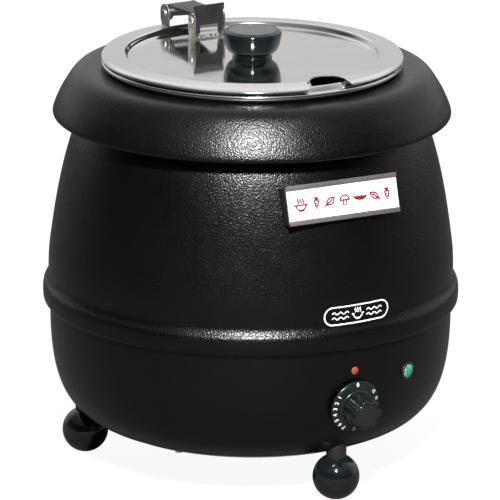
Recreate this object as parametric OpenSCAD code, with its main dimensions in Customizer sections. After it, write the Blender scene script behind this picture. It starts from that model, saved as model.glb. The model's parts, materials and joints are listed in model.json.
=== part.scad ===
// Countertop soup kettle: a black spun-steel body on three ball feet, a water
// pan with a ring heater, a lift-out soup pot and a hinged lid with a ladle
// notch.  Millimetres.  Origin on the kettle's axis at the floor, +Z up, the
// control dial faces -Y and the hinge and the cord gland are at +Y.

/* [Body] */
// Diameter of the belt, the widest part of the body
belt_d = 345; // [340:1:350]
// Sheet thickness of the body shells and the collar
sheet_t = 1.2; // [1:0.1:1.5]
// Height of the flat top of the collar above the floor
collar_z = 333; // [332.8:0.1:333.2]

/* [Feet] */
// Diameter of each ball foot
ball_d = 38.4; // [37:0.2:39]
// Radius of the circle that the three feet stand on
foot_r = 137.7; // [135:0.5:139]

/* [Pot] */
// Inner radius of the lift-out pot
pot_ri = 117; // [115:0.5:117]
// Height of the underside of the pot above the floor
pot_z = 101.5; // [98:0.5:130]

/* [Lid] */
// Outer radius of the lid
lid_r = 124.3; // [123.8:0.1:124.8]
// Radius of the ladle notch
notch_r = 16.5; // [12:0.5:18]
// Diameter of the lid knob
knob_d = 48; // [44:0.2:50]
// Height of the lid knob
knob_h = 23.2; // [22:0.2:28]

/* [Controls] */
// Diameter of the dial skirt
dial_d = 44; // [38:1:48]
// Number of lobes round the dial's grip
dial_lobes = 7; // [5:1:9]
// Diameter of the pilot lamp's lens
lamp_d = 11.4; // [9:0.2:12]

/* [Label] */
// Width of the label card
card_w = 99.5; // [80:0.5:104]
// Height of the label card between its rails
card_h = 24.3; // [18:0.1:26]

/* [Hidden] */
$fn = 96;

belt_r = belt_d / 2;
ball_r = ball_d / 2;
ball_z = ball_r - 0.3;        // each ball keeps a small flat to stand on
ball_top = ball_z + 17.4;     // flat on top of the ball, under its spacer
gap = 0.3;                    // gap between pieces that move apart

shaft_z = 88;                 // height where the dial's axis meets the shell
shaft_y = -164.2;
dial_tilt = 8;                // the dial's axis points down by this angle
dial_az = -0.5;               // and sits this far round from the front foot
lamp_az = 19.6;
lamp_z = 105.4;
gland_z = 95;

label_az = -3.2;
label_z = 259.4;
label_tilt = 16;
label_r = 157.4;              // distance of the card's face from the axis
rail_h = 3.8;

panel_z = 340.8;              // top of the lid's sunk middle panel
lid_t = 0.8;
ring_z = 339.4;               // top of the lid ring's flat
pin_r = 2;
rear_y = 119;  rear_z = 354;  // axis of the rear hinge pin
front_y = 74.2;  front_z = 357.3;
ear_x = 13.4;  ear_t = 1.3;   // inner face and thickness of a bracket's ears

// ---- helpers ---------------------------------------------------------------
function unit(v) = v / norm(v);
function nrm(a, b) = let (d = unit(b - a)) [-d[1], d[0]];
function vnorm(p, i) = i == 0 ? nrm(p[0], p[1])
  : i == len(p) - 1 ? nrm(p[i - 1], p[i])
  : let (a = nrm(p[i - 1], p[i]), b = nrm(p[i], p[i + 1]), m = unit(a + b)) m / max(0.6, m * a);
// closed outline of a sheet: a line and the same line moved sideways by t
function sheet(p, t) = concat(p, [for (i = [len(p) - 1 : -1 : 0]) p[i] + t * vnorm(p, i)]);
// smooth line through the given points, s steps for each span
function smooth(p, s) = concat(
  [for (i = [0 : len(p) - 2])
    let (a = p[max(0, i - 1)], b = p[i], c = p[i + 1], d = p[min(len(p) - 1, i + 2)])
    for (k = [0 : s - 1]) let (t = k / s)
      0.5 * (2 * b + (c - a) * t + (2 * a - 5 * b + 4 * c - d) * t * t
        + (3 * b - a - 3 * c + d) * t * t * t)],
  [p[len(p) - 1]]);
module ring(ri, ro, z0, z1) {
  translate([0, 0, z0]) difference() {
    cylinder(r = ro, h = z1 - z0);
    translate([0, 0, -1]) cylinder(r = ri, h = z1 - z0 + 2);
  }
}
module at_dial() { rotate([0, 0, dial_az]) translate([0, shaft_y, shaft_z]) rotate([90 + dial_tilt, 0, 0]) children(); }
module at_lamp() { rotate([0, 0, lamp_az]) translate([0, -165.9, lamp_z]) rotate([93, 0, 0]) children(); }
module at_label() {
  rotate([0, 0, label_az]) translate([0, -label_r, label_z]) rotate([90 - label_tilt, 0, 0]) children();
}
module at_feet() { for (a = [0, 120, 240]) rotate([0, 0, a]) translate([0, -foot_r, 0]) children(); }
module along_x(x0, x1, y, z, r) { translate([x0, y, z]) rotate([0, 90, 0]) cylinder(r = r, h = x1 - x0); }
module hexnut(af, h, bore) {
  difference() {
    cylinder(d = af / cos(30), h = h, $fn = 6);
    translate([0, 0, -1]) cylinder(r = bore, h = h + 2, $fn = 48);
  }
}

// ---- body shells -----------------------------------------------------------
lower_line = smooth([[166.4, 150], [166.4, 137], [166.6, 124], [166.3, 112], [165.6, 101],
  [164.3, 90], [162.2, 79], [158.8, 68], [153.9, 58], [147.8, 50.2], [140.6, 44], [132.4, 39.8],
  [124, 38], [118, 37.6], [112, 37.6]], 3);
// hollow to the right of the line's direction, so the sheet goes inwards
module lower_outside() { rotate_extrude() polygon(concat(lower_line, [[0, 37.6], [0, 150]])); }
upper_line = smooth([[167.9, 136.4], [170.4, 136.7], [172.0, 138.2], [172.5, 141.5], [172.5, 147.5],
  [171.6, 152], [169.4, 155.6], [168, 160], [167.9, 168], [167.3, 180], [165.4, 195], [162.4, 215],
  [158.8, 235], [154.3, 255], [148.9, 274], [143, 290], [137.6, 306], [133.4, 320], [132, 326],
  [131.2, 328.6], [130, 329.2], [125.8, 329.2]], 3);
module upper_outside() { rotate_extrude() polygon(concat([[0, 136.4]], upper_line, [[0, 329.2]])); }
collar_line = smooth([[161.2, 294.8], [163.2, 294.7], [163.9, 296.4], [163.2, 299.5], [161, 305],
  [158, 311.5], [154.2, 318], [150.2, 324.2], [146.6, 328.6], [142.4, 331.5], [137, 332.8],
  [131, collar_z], [122, collar_z], [119.9, collar_z - 0.5], [119.4, collar_z - 2], [119.4, 326.5]], 3);

module lower_shell() {
  color([0.055, 0.055, 0.06]) difference() {
    rotate_extrude() polygon(sheet(lower_line, -sheet_t));
    at_dial() {
      translate([0, 0, -10]) cylinder(r = 5.3, h = 20);
      for (s = [-1, 1]) translate([14 * s, 0, -10]) cylinder(r = 2.2, h = 20);
    }
    at_lamp() translate([0, 0, -10]) cylinder(r = 4.8, h = 20);
    rotate([0, 0, dial_az]) translate([0, -160, 117.3]) rotate([90, 0, 0]) cylinder(r = 1.6, h = 20);
    translate([0, 150, gland_z]) rotate([-90, 0, 0]) cylinder(r = 8.2, h = 30);
    at_feet() translate([0, 0, 30]) cylinder(r = 4.3, h = 30);
    for (a = [60, 180, 300]) rotate([0, 0, a]) translate([0, -118, 30]) cylinder(r = 1.8, h = 15);
  }
}
module upper_shell() {
  color([0.05, 0.05, 0.055]) rotate_extrude() polygon(sheet(upper_line, sheet_t));
}
module collar() {
  color([0.06, 0.06, 0.065]) rotate_extrude() polygon(sheet(collar_line, sheet_t));
}
module bottom_cover() {
  color([0.5, 0.51, 0.52]) difference() {
    union() {
      ring(3.3, 125, 36.3, 37.5);
      ring(30, 108, 36.3, 38.9);
    }
    ring(32, 106.5, 37.5, 40);
    for (a = [60, 180, 300]) rotate([0, 0, a]) translate([0, -118, 30]) cylinder(r = 2.1, h = 15);
    for (q = [0 : 11]) rotate([0, 0, 30 * q + 15]) translate([-3, 55, 30]) cube([6, 34, 12]);
  }
}
module cover_screws() {
  color([0.75, 0.75, 0.76]) for (a = [60, 180, 300]) rotate([0, 0, a]) translate([0, -118, 0]) {
    difference() {
      translate([0, 0, 33.6]) cylinder(r1 = 3.4, r2 = 4, h = 2.7, $fn = 48);
      translate([-3.4, -0.5, 33]) cube([6.8, 1, 1.7]);
      translate([-0.5, -3.4, 33]) cube([1, 6.8, 1.7]);
    }
    translate([0, 0, 36.2]) cylinder(r = 1.7, h = 8, $fn = 48);
  }
}

// ---- water pan and heater --------------------------------------------------
module water_pan() {
  color([0.72, 0.73, 0.74]) {
    rotate_extrude() polygon(sheet([[0, 90.8], [110, 90.8], [116, 91.7], [120.8, 94.6], [124, 99.4],
      [125, 105.5], [125, 329.3], [133, 329.3]], 1.2));
    for (a = [0, 120, 240]) rotate([0, 0, a]) translate([0, -40, 70]) cylinder(r = 2.5, h = 21.2, $fn = 48);
  }
}
module pan_seal() { color([0.75, 0.3, 0.2]) ring(124.2, 132.5, 330.6, 331.7); }
module heating_element() {
  color([0.35, 0.33, 0.32]) {
    translate([0, 0, 86.6]) rotate_extrude() translate([72, 0]) circle(r = 4, $fn = 48);
    for (a = [-8, 8]) rotate([0, 0, a]) translate([0, 72, 0]) {
      translate([0, 0, 70]) cylinder(r = 3.4, h = 15.4, $fn = 48);
      translate([0, 0, 60]) cylinder(r = 1.6, h = 11, $fn = 48);
    }
  }
}
module element_plate() {
  color([0.62, 0.63, 0.64]) difference() {
    union() { ring(7, 84, 81, 82.4); ring(79, 84, 81, 86); ring(7, 9, 76.5, 82.4); }
    for (a = [0, 120, 240]) rotate([0, 0, a]) translate([0, -40, 60]) cylinder(r = 2.8, h = 30, $fn = 48);
    for (a = [-8, 8]) rotate([0, 0, a]) translate([0, 72, 60]) cylinder(r = 5, h = 24, $fn = 48);
    rotate([0, 0, 60]) translate([0, -45, 70]) cylinder(r = 9.5, h = 30);
  }
}
module element_nuts() {
  color([0.8, 0.78, 0.6]) for (a = [0, 120, 240]) rotate([0, 0, a]) translate([0, -40, 76.6])
    hexnut(8, 4.3, 2.53);
}
module tie_rod() {
  color([0.7, 0.7, 0.72]) { translate([0, 0, 29]) cylinder(r = 3, h = 58, $fn = 48); ring(0.01, 11, 82.6, 85); }
}
module tie_rod_nuts() {
  color([0.8, 0.78, 0.6]) { translate([0, 0, 31]) hexnut(10, 5.2, 3.03); translate([0, 0, 71]) hexnut(10, 5.4, 3.03); }
}
module thermostat_body() {
  color([0.82, 0.8, 0.74]) at_dial() difference() {
    union() {
      translate([-18, -18, -29]) cube([36, 36, 23]);
      translate([0, 0, -8]) cylinder(r = 5, h = 9.2);
      for (s = [-1, 1]) translate([6 * s - 0.4, -14, -35]) cube([0.8, 6.3, 6.5]);
    }
    translate([0, 0, -24]) cylinder(r = 3.06, h = 40);
    for (s = [-1, 1]) translate([14 * s, 0, -12]) cylinder(r = 1.98, h = 20);
  }
}
module thermostat_screws() {
  color([0.75, 0.75, 0.76]) at_dial() for (s = [-1, 1]) translate([14 * s, 0, 0]) {
    translate([0, 0, -11]) cylinder(r = 1.95, h = 11.5, $fn = 48);
    difference() {
      translate([0, 0, 0.1]) cylinder(r1 = 3.8, r2 = 3.3, h = 1.7, $fn = 48);
      translate([-3.4, -0.45, 1]) cube([6.8, 0.9, 2]);
    }
  }
}
module thermostat_shaft() {
  color([0.78, 0.78, 0.8]) at_dial() difference() {
    translate([0, 0, -22]) cylinder(r = 3, h = 38);
    translate([1.6, -5, 2.6]) cube([5, 10, 20]);
  }
}
module thermostat_bulb() {
  color([0.72, 0.45, 0.28]) {
    rotate([0, 0, -40]) translate([0, -129.4, 0]) {
      translate([0, 0, 104]) cylinder(r = 3, h = 70, $fn = 48);
      translate([0, 0, 94.4]) cylinder(r = 1.5, h = 10.1, $fn = 32);
    }
    translate([0, 0, 96]) rotate([0, 0, -130]) rotate_extrude(angle = 36) translate([129.4, 0]) circle(r = 0.9, $fn = 32);
    rotate([0, 0, -4]) translate([0, -127.8, 96]) rotate([90, 0, 0]) cylinder(r = 1.5, h = 6.8, $fn = 32);
  }
}
module thermal_cutout() {
  color([0.2, 0.2, 0.2]) rotate([0, 0, 60]) translate([0, -45, 0]) {
    translate([0, 0, 84.6]) cylinder(r = 8.5, h = 5.8);
    for (s = [-1, 1]) translate([5 * s - 0.4, -3.1, 76]) cube([0.8, 6.2, 9]);
  }
}
module terminal_block() {
  color([0.88, 0.87, 0.83]) translate([-19, 88, 39]) difference() {
    union() { cube([38, 14, 8]); translate([0, 3, 0]) cube([38, 8, 15]); }
    for (k = [0 : 2]) translate([7 + 12 * k, -1, 7.5]) rotate([-90, 0, 0]) cylinder(r = 2, h = 20, $fn = 32);
    for (k = [0 : 2]) translate([7 + 12 * k, 7, 8]) cylinder(r = 1.9, h = 10, $fn = 32);
  }
}
module terminal_screws() {
  color([0.8, 0.7, 0.4]) for (k = [0 : 2]) translate([-12 + 12 * k, 95, 50]) difference() {
    cylinder(r = 1.8, h = 3.2, $fn = 32);
    translate([-2, -0.35, 2.2]) cube([4, 0.7, 2]);
  }
}
// a lead: up from the block, round below the pan and up to what it feeds
module lead(r0, z0, a0, a1, z1, up) {
  translate([0, 0, z0]) rotate([0, 0, a0]) rotate_extrude(angle = a1 - a0) translate([r0, 0]) circle(r = 1.3, $fn = 24);
  rotate([0, 0, a1]) translate([r0, 0, z0 - 2]) cylinder(r = 1.7, h = z1 - z0, $fn = 24);
  rotate([0, 0, a0]) translate([r0, 0, z0 - up]) cylinder(r = 1.7, h = up + 2, $fn = 24);
}
module lead_live() { color([0.45, 0.25, 0.12]) lead(112, 62, 84, -84, 82, 6); }
module lead_neutral() { color([0.15, 0.3, 0.65]) lead(118, 62, 96, 262, 82, 6); }
module lead_earth() { color([0.3, 0.55, 0.2]) lead(108, 68, 91, 130, 76, 14); }

// ---- cord inlet ------------------------------------------------------------
module at_gland() { translate([0, 165, gland_z]) rotate([-90, 0, 0]) children(); }
module gland_body() {
  color([0.07, 0.07, 0.07]) at_gland() difference() {
    union() {
      translate([0, 0, -14]) cylinder(r = 8, h = 18);
      difference() {
        translate([0, 0, -1]) cylinder(d = 24 / cos(30), h = 7, $fn = 6);
        rotate([90, 0, 0]) translate([0, -165, -gland_z]) lower_outside();
      }
      translate([0, 0, 6]) cylinder(r = 10.6, h = 7.6);
      translate([0, 0, 13.6]) cylinder(r1 = 10.6, r2 = 6.4, h = 5.4);
      for (q = [0 : 11]) rotate([0, 0, 30 * q]) translate([10.3, 0, 6]) cylinder(r = 0.8, h = 7, $fn = 24);
    }
    translate([0, 0, -20]) cylinder(r = 4, h = 50);
  }
}
module gland_nut() { color([0.07, 0.07, 0.07]) at_gland() translate([0, 0, -8]) hexnut(22, 4.6, 8.03); }

// ---- feet ------------------------------------------------------------------
module ball(a) {
  color([0.02, 0.03, 0.035]) rotate([0, 0, a]) translate([0, -foot_r, 0]) difference() {
    translate([0, 0, ball_z]) sphere(r = ball_r);
    translate([-30, -30, -20]) cube([60, 60, 20]);
    translate([-30, -30, ball_top]) cube([60, 60, 20]);
    translate([0, 0, 19.5]) cylinder(r = 4.03, h = 40);
  }
}
module foot_ball_front() { ball(0); }
module foot_ball_right() { ball(120); }
module foot_ball_left() { ball(240); }
module foot_spacers() {
  color([0.03, 0.03, 0.03]) difference() {
    at_feet() difference() {
      translate([0, 0, ball_top]) cylinder(r = 8.3, h = 14, $fn = 64);
      translate([0, 0, ball_top - 1]) cylinder(r = 4.1, h = 20);
    }
    lower_outside();
  }
}
lower_inner = [for (i = [0 : len(lower_line) - 1]) lower_line[i] - (sheet_t + 0.05) * vnorm(lower_line, i)];
module foot_seats() {
  color([0.3, 0.3, 0.3]) intersection() {
    at_feet() difference() {
      translate([0, 0, 38]) cylinder(r = 8.6, h = 13.4, $fn = 64);
      translate([0, 0, 30]) cylinder(r = 4.1, h = 30);
    }
    rotate_extrude() polygon(concat(lower_inner, [[0, lower_inner[len(lower_inner) - 1][1]], [0, 150]]));
  }
}
module foot_studs() { color([0.75, 0.75, 0.76]) at_feet() translate([0, 0, 20]) cylinder(r = 4, h = 40); }
module foot_nuts() { color([0.8, 0.8, 0.78]) at_feet() translate([0, 0, 51.5]) hexnut(13, 6.5, 4.03); }

// ---- lamp, index stud, label ------------------------------------------------
module lamp_lens() {
  color([0.1, 0.55, 0.4]) at_lamp() intersection() {
    translate([0, 0, 0.15]) cylinder(d = lamp_d, h = 5);
    union() {
      translate([0, 0, -8.3]) sphere(r = 11);
      cylinder(d = lamp_d, h = 1.2);
    }
  }
}
module lamp_body() {
  color([0.1, 0.1, 0.1]) at_lamp() {
    translate([0, 0, -16]) cylinder(r = 4.5, h = 16.13);
    translate([0, 0, -4.6]) hexnut(14, 2.8, 4.5);
    for (s = [-1, 1]) translate([2 * s - 0.4, -1.6, -23]) cube([0.8, 3.2, 7.5]);
  }
}
module index_stud() {
  color([0.75, 0.2, 0.15]) rotate([0, 0, dial_az]) translate([0, -166.35, 117.3]) rotate([90, 0, 0]) {
    translate([0, 0, -4]) cylinder(r = 1.55, h = 4.4, $fn = 48);
    intersection() {
      translate([0, 0, 0.3]) cylinder(r = 3.3, h = 3, $fn = 64);
      translate([0, 0, -4.9]) sphere(r = 6.4);
    }
  }
}
module label_pad() {
  color([0.05, 0.05, 0.05]) difference() {
    at_label() translate([-(card_w + 0.4) / 2, -(card_h + 2 * rail_h) / 2 + 1, -26]) cube([card_w + 0.4, card_h + 2 * rail_h - 2, 23.9]);
    rotate_extrude($fn = 360) polygon(concat([[0, 200]], [for (q = upper_line) if (q[1] > 205 && q[1] < 300) q + [0.06, 0]], [[0, 320]]));
  }
}
module label_holder() {
  color([0.32, 0.29, 0.29]) at_label() difference() {
    translate([-(card_w + 0.4) / 2, -card_h / 2 - rail_h, -2.1]) cube([card_w + 0.4, card_h + 2 * rail_h, 3]);
    translate([-60, -card_h / 2 - 1.3, -0.75]) cube([120, card_h + 2.6, 0.8]);
    translate([-60, -card_h / 2, -0.75]) cube([120, card_h, 3]);
  }
}
module label_card() {
  color([0.95, 0.95, 0.94]) at_label() translate([-card_w / 2, -card_h / 2 - 1.1, -0.6]) cube([card_w, card_h + 2.2, 0.5]);
}

// ---- dial --------------------------------------------------------------------
module dial_knob() {
  color([0.06, 0.075, 0.08]) at_dial() difference() {
    union() {
      rotate_extrude() polygon([[0, 2.4], [dial_d / 2 - 0.6, 2.4], [dial_d / 2, 3], [dial_d / 2 - 0.2, 4],
        [dial_d / 2 - 2.4, 4.9], [14.2, 5.6], [0, 5.6]]);
      difference() {
        rotate_extrude() polygon([[0, 5], [13.8, 5], [13.5, 7], [13.3, 22.2], [12.9, 23], [12.2, 23.3], [0, 23.3]]);
        for (q = [0 : dial_lobes - 1]) rotate([0, 0, (q + 0.5) * 360 / dial_lobes])
          translate([15.6, 0, 6.6]) cylinder(r = 4.2, h = 30, $fn = 48);
      }
    }
    translate([0, 0, 0]) cylinder(r = 3.03, h = 17);
    translate([0, 0, 22.3]) cylinder(r = 9.6, h = 3);
    ring(6, dial_d / 2 - 3.5, 1, 3.4);
  }
}
module dial_cap() { color([0.13, 0.16, 0.15]) at_dial() translate([0, 0, 22.35]) cylinder(r = 9.5, h = 0.85); }

// ---- pot, ring ---------------------------------------------------------------
pot_ro = pot_ri + 1;
module soup_pot() {
  color([0.78, 0.79, 0.8]) rotate_extrude() {
    polygon(sheet([[0, pot_z], [pot_ro - 16, pot_z], [pot_ro - 9.9, pot_z + 1.2], [pot_ro - 4.7, pot_z + 4.7],
      [pot_ro - 1.2, pot_z + 9.9], [pot_ro, pot_z + 16], [pot_ro, collar_z + gap], [122.2, collar_z + gap]], 1));
    translate([120.5, collar_z + 3.1]) circle(r = 1.9, $fn = 48);
  }
}
module lid_ring() {
  color([0.8, 0.81, 0.82]) difference() {
    union() {
      rotate_extrude() polygon(sheet([[115.3, 331], [115.3, 342.2], [115.8, 343.2], [116.8, 343.6], [118, 342.9],
        [119.6, 340.3], [120.6, ring_z], [122.4, ring_z], [123.6, 338.9], [124.1, 337.9], [124.1, 336.7]], -0.9));
      intersection() {
        ring(112, 123, ring_z - 1, ring_z);
        translate([-20, 60, 300]) cube([40, 80, 60]);
      }
    }
    translate([-17, 100, ring_z]) cube([34, 30, 10]);
  }
}

// ---- hinge -------------------------------------------------------------------
// U bracket: a base plate and two ears with a pin hole, standing at y on z;
// e is the outline of an ear below its round top
module u_bracket(y, z, pz, y0, y1, w, e) {
  difference() {
    union() {
      translate([-ear_x - ear_t, y0, z]) cube([2 * (ear_x + ear_t), y1 - y0, ear_t]);
      for (s = [-1, 1]) translate([s > 0 ? ear_x : -ear_x - ear_t, 0, 0]) rotate([90, 0, 90]) linear_extrude(ear_t)
        union() {
          translate([y, pz + 0.4]) circle(r = w / 2);
          polygon(e);
        }
    }
    along_x(-20, 20, y, pz, pin_r + 0.02);
    for (s = [-1, 1]) translate([7 * s, (y0 + y1) / 2, z - 5]) cylinder(r = 1.62, h = 12, $fn = 48);
  }
}
module rivets(y, z, under) {
  for (s = [-1, 1]) translate([7 * s, y, z]) {
    translate([0, 0, -under - 1]) cylinder(r = 1.6, h = under + 2 + ear_t, $fn = 48);
    translate([0, 0, -under - 0.9]) cylinder(r = 2.7, h = 0.9, $fn = 48);
    translate([0, 0, ear_t]) cylinder(r1 = 3, r2 = 2.2, h = 1, $fn = 48);
  }
}
module hinge_pin(y, z) {
  along_x(-ear_x - ear_t - 1.2, ear_x + ear_t + 1.2, y, z, pin_r);
  for (s = [-1, 1]) translate([s * (ear_x + ear_t), y, z]) rotate([0, 90 * s, 0]) cylinder(r1 = 3.3, r2 = 2.2, h = 1.7, $fn = 48);
}
module lid_holes() {
  for (s = [-1, 1]) translate([7 * s, 75.4, 330]) cylinder(r = 1.62, h = 20, $fn = 48);
}
module rear_bracket() {
  color([0.66, 0.64, 0.58]) u_bracket(rear_y, ring_z, rear_z, 113, 122.6, 14.6,
    [[rear_y - 7.3, rear_z + 0.4], [113.6, ring_z], [122.2, ring_z], [125.6, 347.5], [rear_y + 7.3, 350.5], [rear_y + 7.3, rear_z + 0.4]]);
}
module rear_rivets() {
  color([0.7, 0.68, 0.6]) for (s = [-1, 1]) translate([7 * s, 117.8, ring_z]) {
    translate([0, 0, ear_t + 0.02]) cylinder(r1 = 3, r2 = 2.2, h = 1, $fn = 48);
    translate([0, 0, 0.1]) cylinder(r = 1.6, h = ear_t, $fn = 48);
  }
}
module rear_pin() { color([0.7, 0.68, 0.6]) hinge_pin(rear_y, rear_z); }
module front_bracket() {
  color([0.66, 0.64, 0.58]) u_bracket(front_y, panel_z, front_z, 69.8, 81, 11,
    [[front_y - 5.5, front_z + 0.4], [69, 350], [69.8, panel_z], [77.6, panel_z], [79.4, 347], [front_y + 5.5, 351], [front_y + 5.5, front_z + 0.4]]);
}
module front_rivets() { color([0.7, 0.68, 0.6]) rivets(75.4, panel_z, lid_t + 0.2); }
module front_pin() { color([0.7, 0.68, 0.6]) hinge_pin(front_y, front_z); }
link_top = [[122.3, 359.3], [120.8, 361], [118.6, 361.6], [95, 362.3], [79, 363], [71, 363.3]];
link_side = [[124.9, 353], [124.8, 356], [123.4, 358.8], [120.8, 360.8], [118.6, 361.4], [95, 362.1], [79, 362.8], [70.4, 363.1],
  [70.4, 350.4], [74.2, 351.3], [78.4, 353.6], [80, 357.6], [83, 359.6], [108.4, 353.4], [111.8, 349.8], [115.6, 347.9], [120.4, 347.8],
  [123.4, 349.8]];
module hinge_link() {
  color([0.07, 0.07, 0.08]) difference() {
    union() {
      for (s = [-1, 1]) translate([s > 0 ? ear_x - 1.5 : -ear_x + 0.3, 0, 0]) rotate([90, 0, 90]) linear_extrude(1.2) polygon(link_side);
      // flat top plate with its rear edge rolled down
      translate([-ear_x + 0.3, 0, 0]) rotate([90, 0, 90]) linear_extrude(2 * ear_x - 0.6) polygon(sheet(link_top, 1.2));
      // front plate, wider above the ears, with the window between its legs
      translate([-ear_x + 0.3, 70, 346]) cube([2 * ear_x - 0.6, 1.3, 23]);
      translate([-14.2, 70, 364.4]) cube([28.4, 1.3, 5]);
      translate([-14.2, 70.65, 369.4]) rotate([0, 90, 0]) cylinder(r = 0.65, h = 28.4, $fn = 32);
    }
    translate([-8.7, 60, 345]) cube([17.4, 12, 8]);
    along_x(-20, 20, rear_y, rear_z, pin_r + 0.06);
    along_x(-20, 20, front_y, front_z, pin_r + 0.06);
  }
}

// ---- lid ---------------------------------------------------------------------
notch_y = -(lid_r - 3.4);     // centre of the notch's round end
notch_fr = 5;                 // radius that rounds the notch's mouth into the rim
notch_fy = (notch_y * notch_y - pow(notch_r + notch_fr, 2) + pow(lid_r - notch_fr, 2)) / (2 * notch_y);
notch_fx = sqrt(pow(lid_r - notch_fr, 2) - notch_fy * notch_fy);
module notch_cut() {
  translate([0, notch_y, 0]) cylinder(r = notch_r, h = 500);
  for (s = [-1, 1]) difference() {
    linear_extrude(500) polygon([[0, notch_y], [s * notch_fx, notch_fy], [s * notch_fx * 1.2, notch_fy * 1.2], [0, -150]]);
    translate([s * notch_fx, notch_fy, -1]) cylinder(r = notch_fr, h = 502);
  }
}
module lid() {
  color([0.82, 0.82, 0.83]) difference() {
    union() {
      rotate_extrude() polygon(sheet([[0, panel_z], [101.4, panel_z], [102.6, 341.2], [104.2, 344.5], [105.2, 345.4],
        [106.5, 345.6], [120.6, 344.3], [122.6, 343.9], [123.8, 343], [lid_r, 341.5]], -lid_t));
      // lip turned up round the ladle notch
      intersection() {
        translate([0, notch_y, 343.75]) cylinder(r = notch_r + lid_t, h = 4.4);
        rotate_extrude() polygon([[0, 300], [lid_r - 0.4, 300], [lid_r - 0.4, 343], [lid_r - 4, 346.6], [103, 348], [0, 348]]);
      }
    }
    notch_cut();
    translate([-17.6, 108.5, 300]) cube([35.2, 40, 100]);
    translate([0, 0, 300]) cylinder(r = 2.6, h = 60, $fn = 48);
    lid_holes();
  }
}
kr = knob_d / 2;
module lid_knob() {
  color([0.02, 0.03, 0.03]) translate([0, 0, panel_z + 0.02]) difference() {
    rotate_extrude() polygon(concat([[0, 0]], smooth([[15.6, 0], [16.3, 0.5], [16.4, 2.4], [17.1, 3.2], [20.3, 6.2],
      [22.3, 10.5], [23.3, 14.5], [kr - 0.1, 18.3], [kr, 20], [kr - 0.4, 21.3], [22.4, 22.3], [21.2, 22.8],
      [20.5, knob_h - 0.1], [20.2, knob_h]], 2), [[0, knob_h]]));
    translate([0, 0, knob_h - 1]) cylinder(r = 19.8, h = 3);
    translate([0, 0, -1]) cylinder(r = 2.55, h = 18, $fn = 48);
  }
}
module knob_cap() { color([0.3, 0.32, 0.36]) translate([0, 0, panel_z + knob_h - 0.9]) cylinder(r = 19.7, h = 0.9); }
module knob_screw() {
  color([0.75, 0.75, 0.76]) {
    translate([0, 0, 334]) cylinder(r = 2.5, h = 22, $fn = 48);
    difference() {
      translate([0, 0, 336.6]) cylinder(r1 = 4, r2 = 4.8, h = 2.5, $fn = 48);
      translate([-5, -0.6, 336]) cube([10, 1.2, 1.6]);
    }
    ring(2.4, 8, 339.1, 340);
  }
}

lower_shell();
upper_shell();
collar();
bottom_cover();
cover_screws();
water_pan();
pan_seal();
heating_element();
element_plate();
element_nuts();
tie_rod();
tie_rod_nuts();
thermostat_body();
thermostat_screws();
thermostat_bulb();
thermal_cutout();
terminal_block();
terminal_screws();
lead_live();
lead_neutral();
lead_earth();
gland_body();
gland_nut();
foot_ball_front();
foot_ball_left();
foot_ball_right();
foot_spacers();
foot_seats();
foot_studs();
foot_nuts();
lamp_lens();
lamp_body();
index_stud();
label_pad();
label_holder();
label_card();
dial_knob();
dial_cap();
thermostat_shaft();
soup_pot();
lid_ring();
rear_bracket();
rear_rivets();
rear_pin();
hinge_link();
lid();
front_bracket();
front_rivets();
front_pin();
lid_knob();
knob_cap();
knob_screw();
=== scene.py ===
# Looks of the countertop soup kettle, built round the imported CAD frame.
# Metres, kettle axis at the origin, +Z up, the dial faces -Y.
import json
import math
import bpy
import bmesh
import numpy as np
from mathutils import Matrix, Vector
from mathutils.geometry import delaunay_2d_cdt


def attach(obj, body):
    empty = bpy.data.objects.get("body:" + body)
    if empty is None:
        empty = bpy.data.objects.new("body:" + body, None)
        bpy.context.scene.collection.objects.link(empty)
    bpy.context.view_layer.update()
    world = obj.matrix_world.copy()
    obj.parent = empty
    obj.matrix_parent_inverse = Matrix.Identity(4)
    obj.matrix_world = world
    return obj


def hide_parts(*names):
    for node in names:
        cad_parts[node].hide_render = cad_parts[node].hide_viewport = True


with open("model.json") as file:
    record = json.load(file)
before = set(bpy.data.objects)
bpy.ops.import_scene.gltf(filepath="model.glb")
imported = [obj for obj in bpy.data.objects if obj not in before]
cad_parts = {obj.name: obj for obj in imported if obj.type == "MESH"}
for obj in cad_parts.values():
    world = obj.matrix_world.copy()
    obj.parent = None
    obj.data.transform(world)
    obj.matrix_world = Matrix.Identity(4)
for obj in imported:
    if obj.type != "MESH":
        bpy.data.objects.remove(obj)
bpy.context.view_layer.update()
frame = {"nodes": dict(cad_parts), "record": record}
NODES = frame["nodes"]
MM = 0.001
scene = bpy.context.scene


# ============================================================================
# helpers: profiles
# ============================================================================
def nrm(a, b):
    d = (b[0] - a[0], b[1] - a[1])
    n = math.hypot(*d) or 1.0
    return (-d[1] / n, d[0] / n)


def vnorm(p, i):
    if i == 0:
        return nrm(p[0], p[1])
    if i == len(p) - 1:
        return nrm(p[i - 1], p[i])
    a, b = nrm(p[i - 1], p[i]), nrm(p[i], p[i + 1])
    m = (a[0] + b[0], a[1] + b[1])
    n = math.hypot(*m) or 1.0
    m = (m[0] / n, m[1] / n)
    k = max(0.6, m[0] * a[0] + m[1] * a[1])
    return (m[0] / k, m[1] / k)


def smooth(p, s):
    """Catmull-Rom line through the points, s steps a span."""
    out = []
    for i in range(len(p) - 1):
        a, b, c, d = p[max(0, i - 1)], p[i], p[i + 1], p[min(len(p) - 1, i + 2)]
        for k in range(s):
            t = k / s
            out.append(tuple(0.5 * (2 * b[j] + (c[j] - a[j]) * t + (2 * a[j] - 5 * b[j] + 4 * c[j] - d[j]) * t * t
                                    + (3 * b[j] - a[j] - 3 * c[j] + d[j]) * t ** 3) for j in (0, 1)))
    out.append(tuple(p[-1]))
    return out


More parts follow.
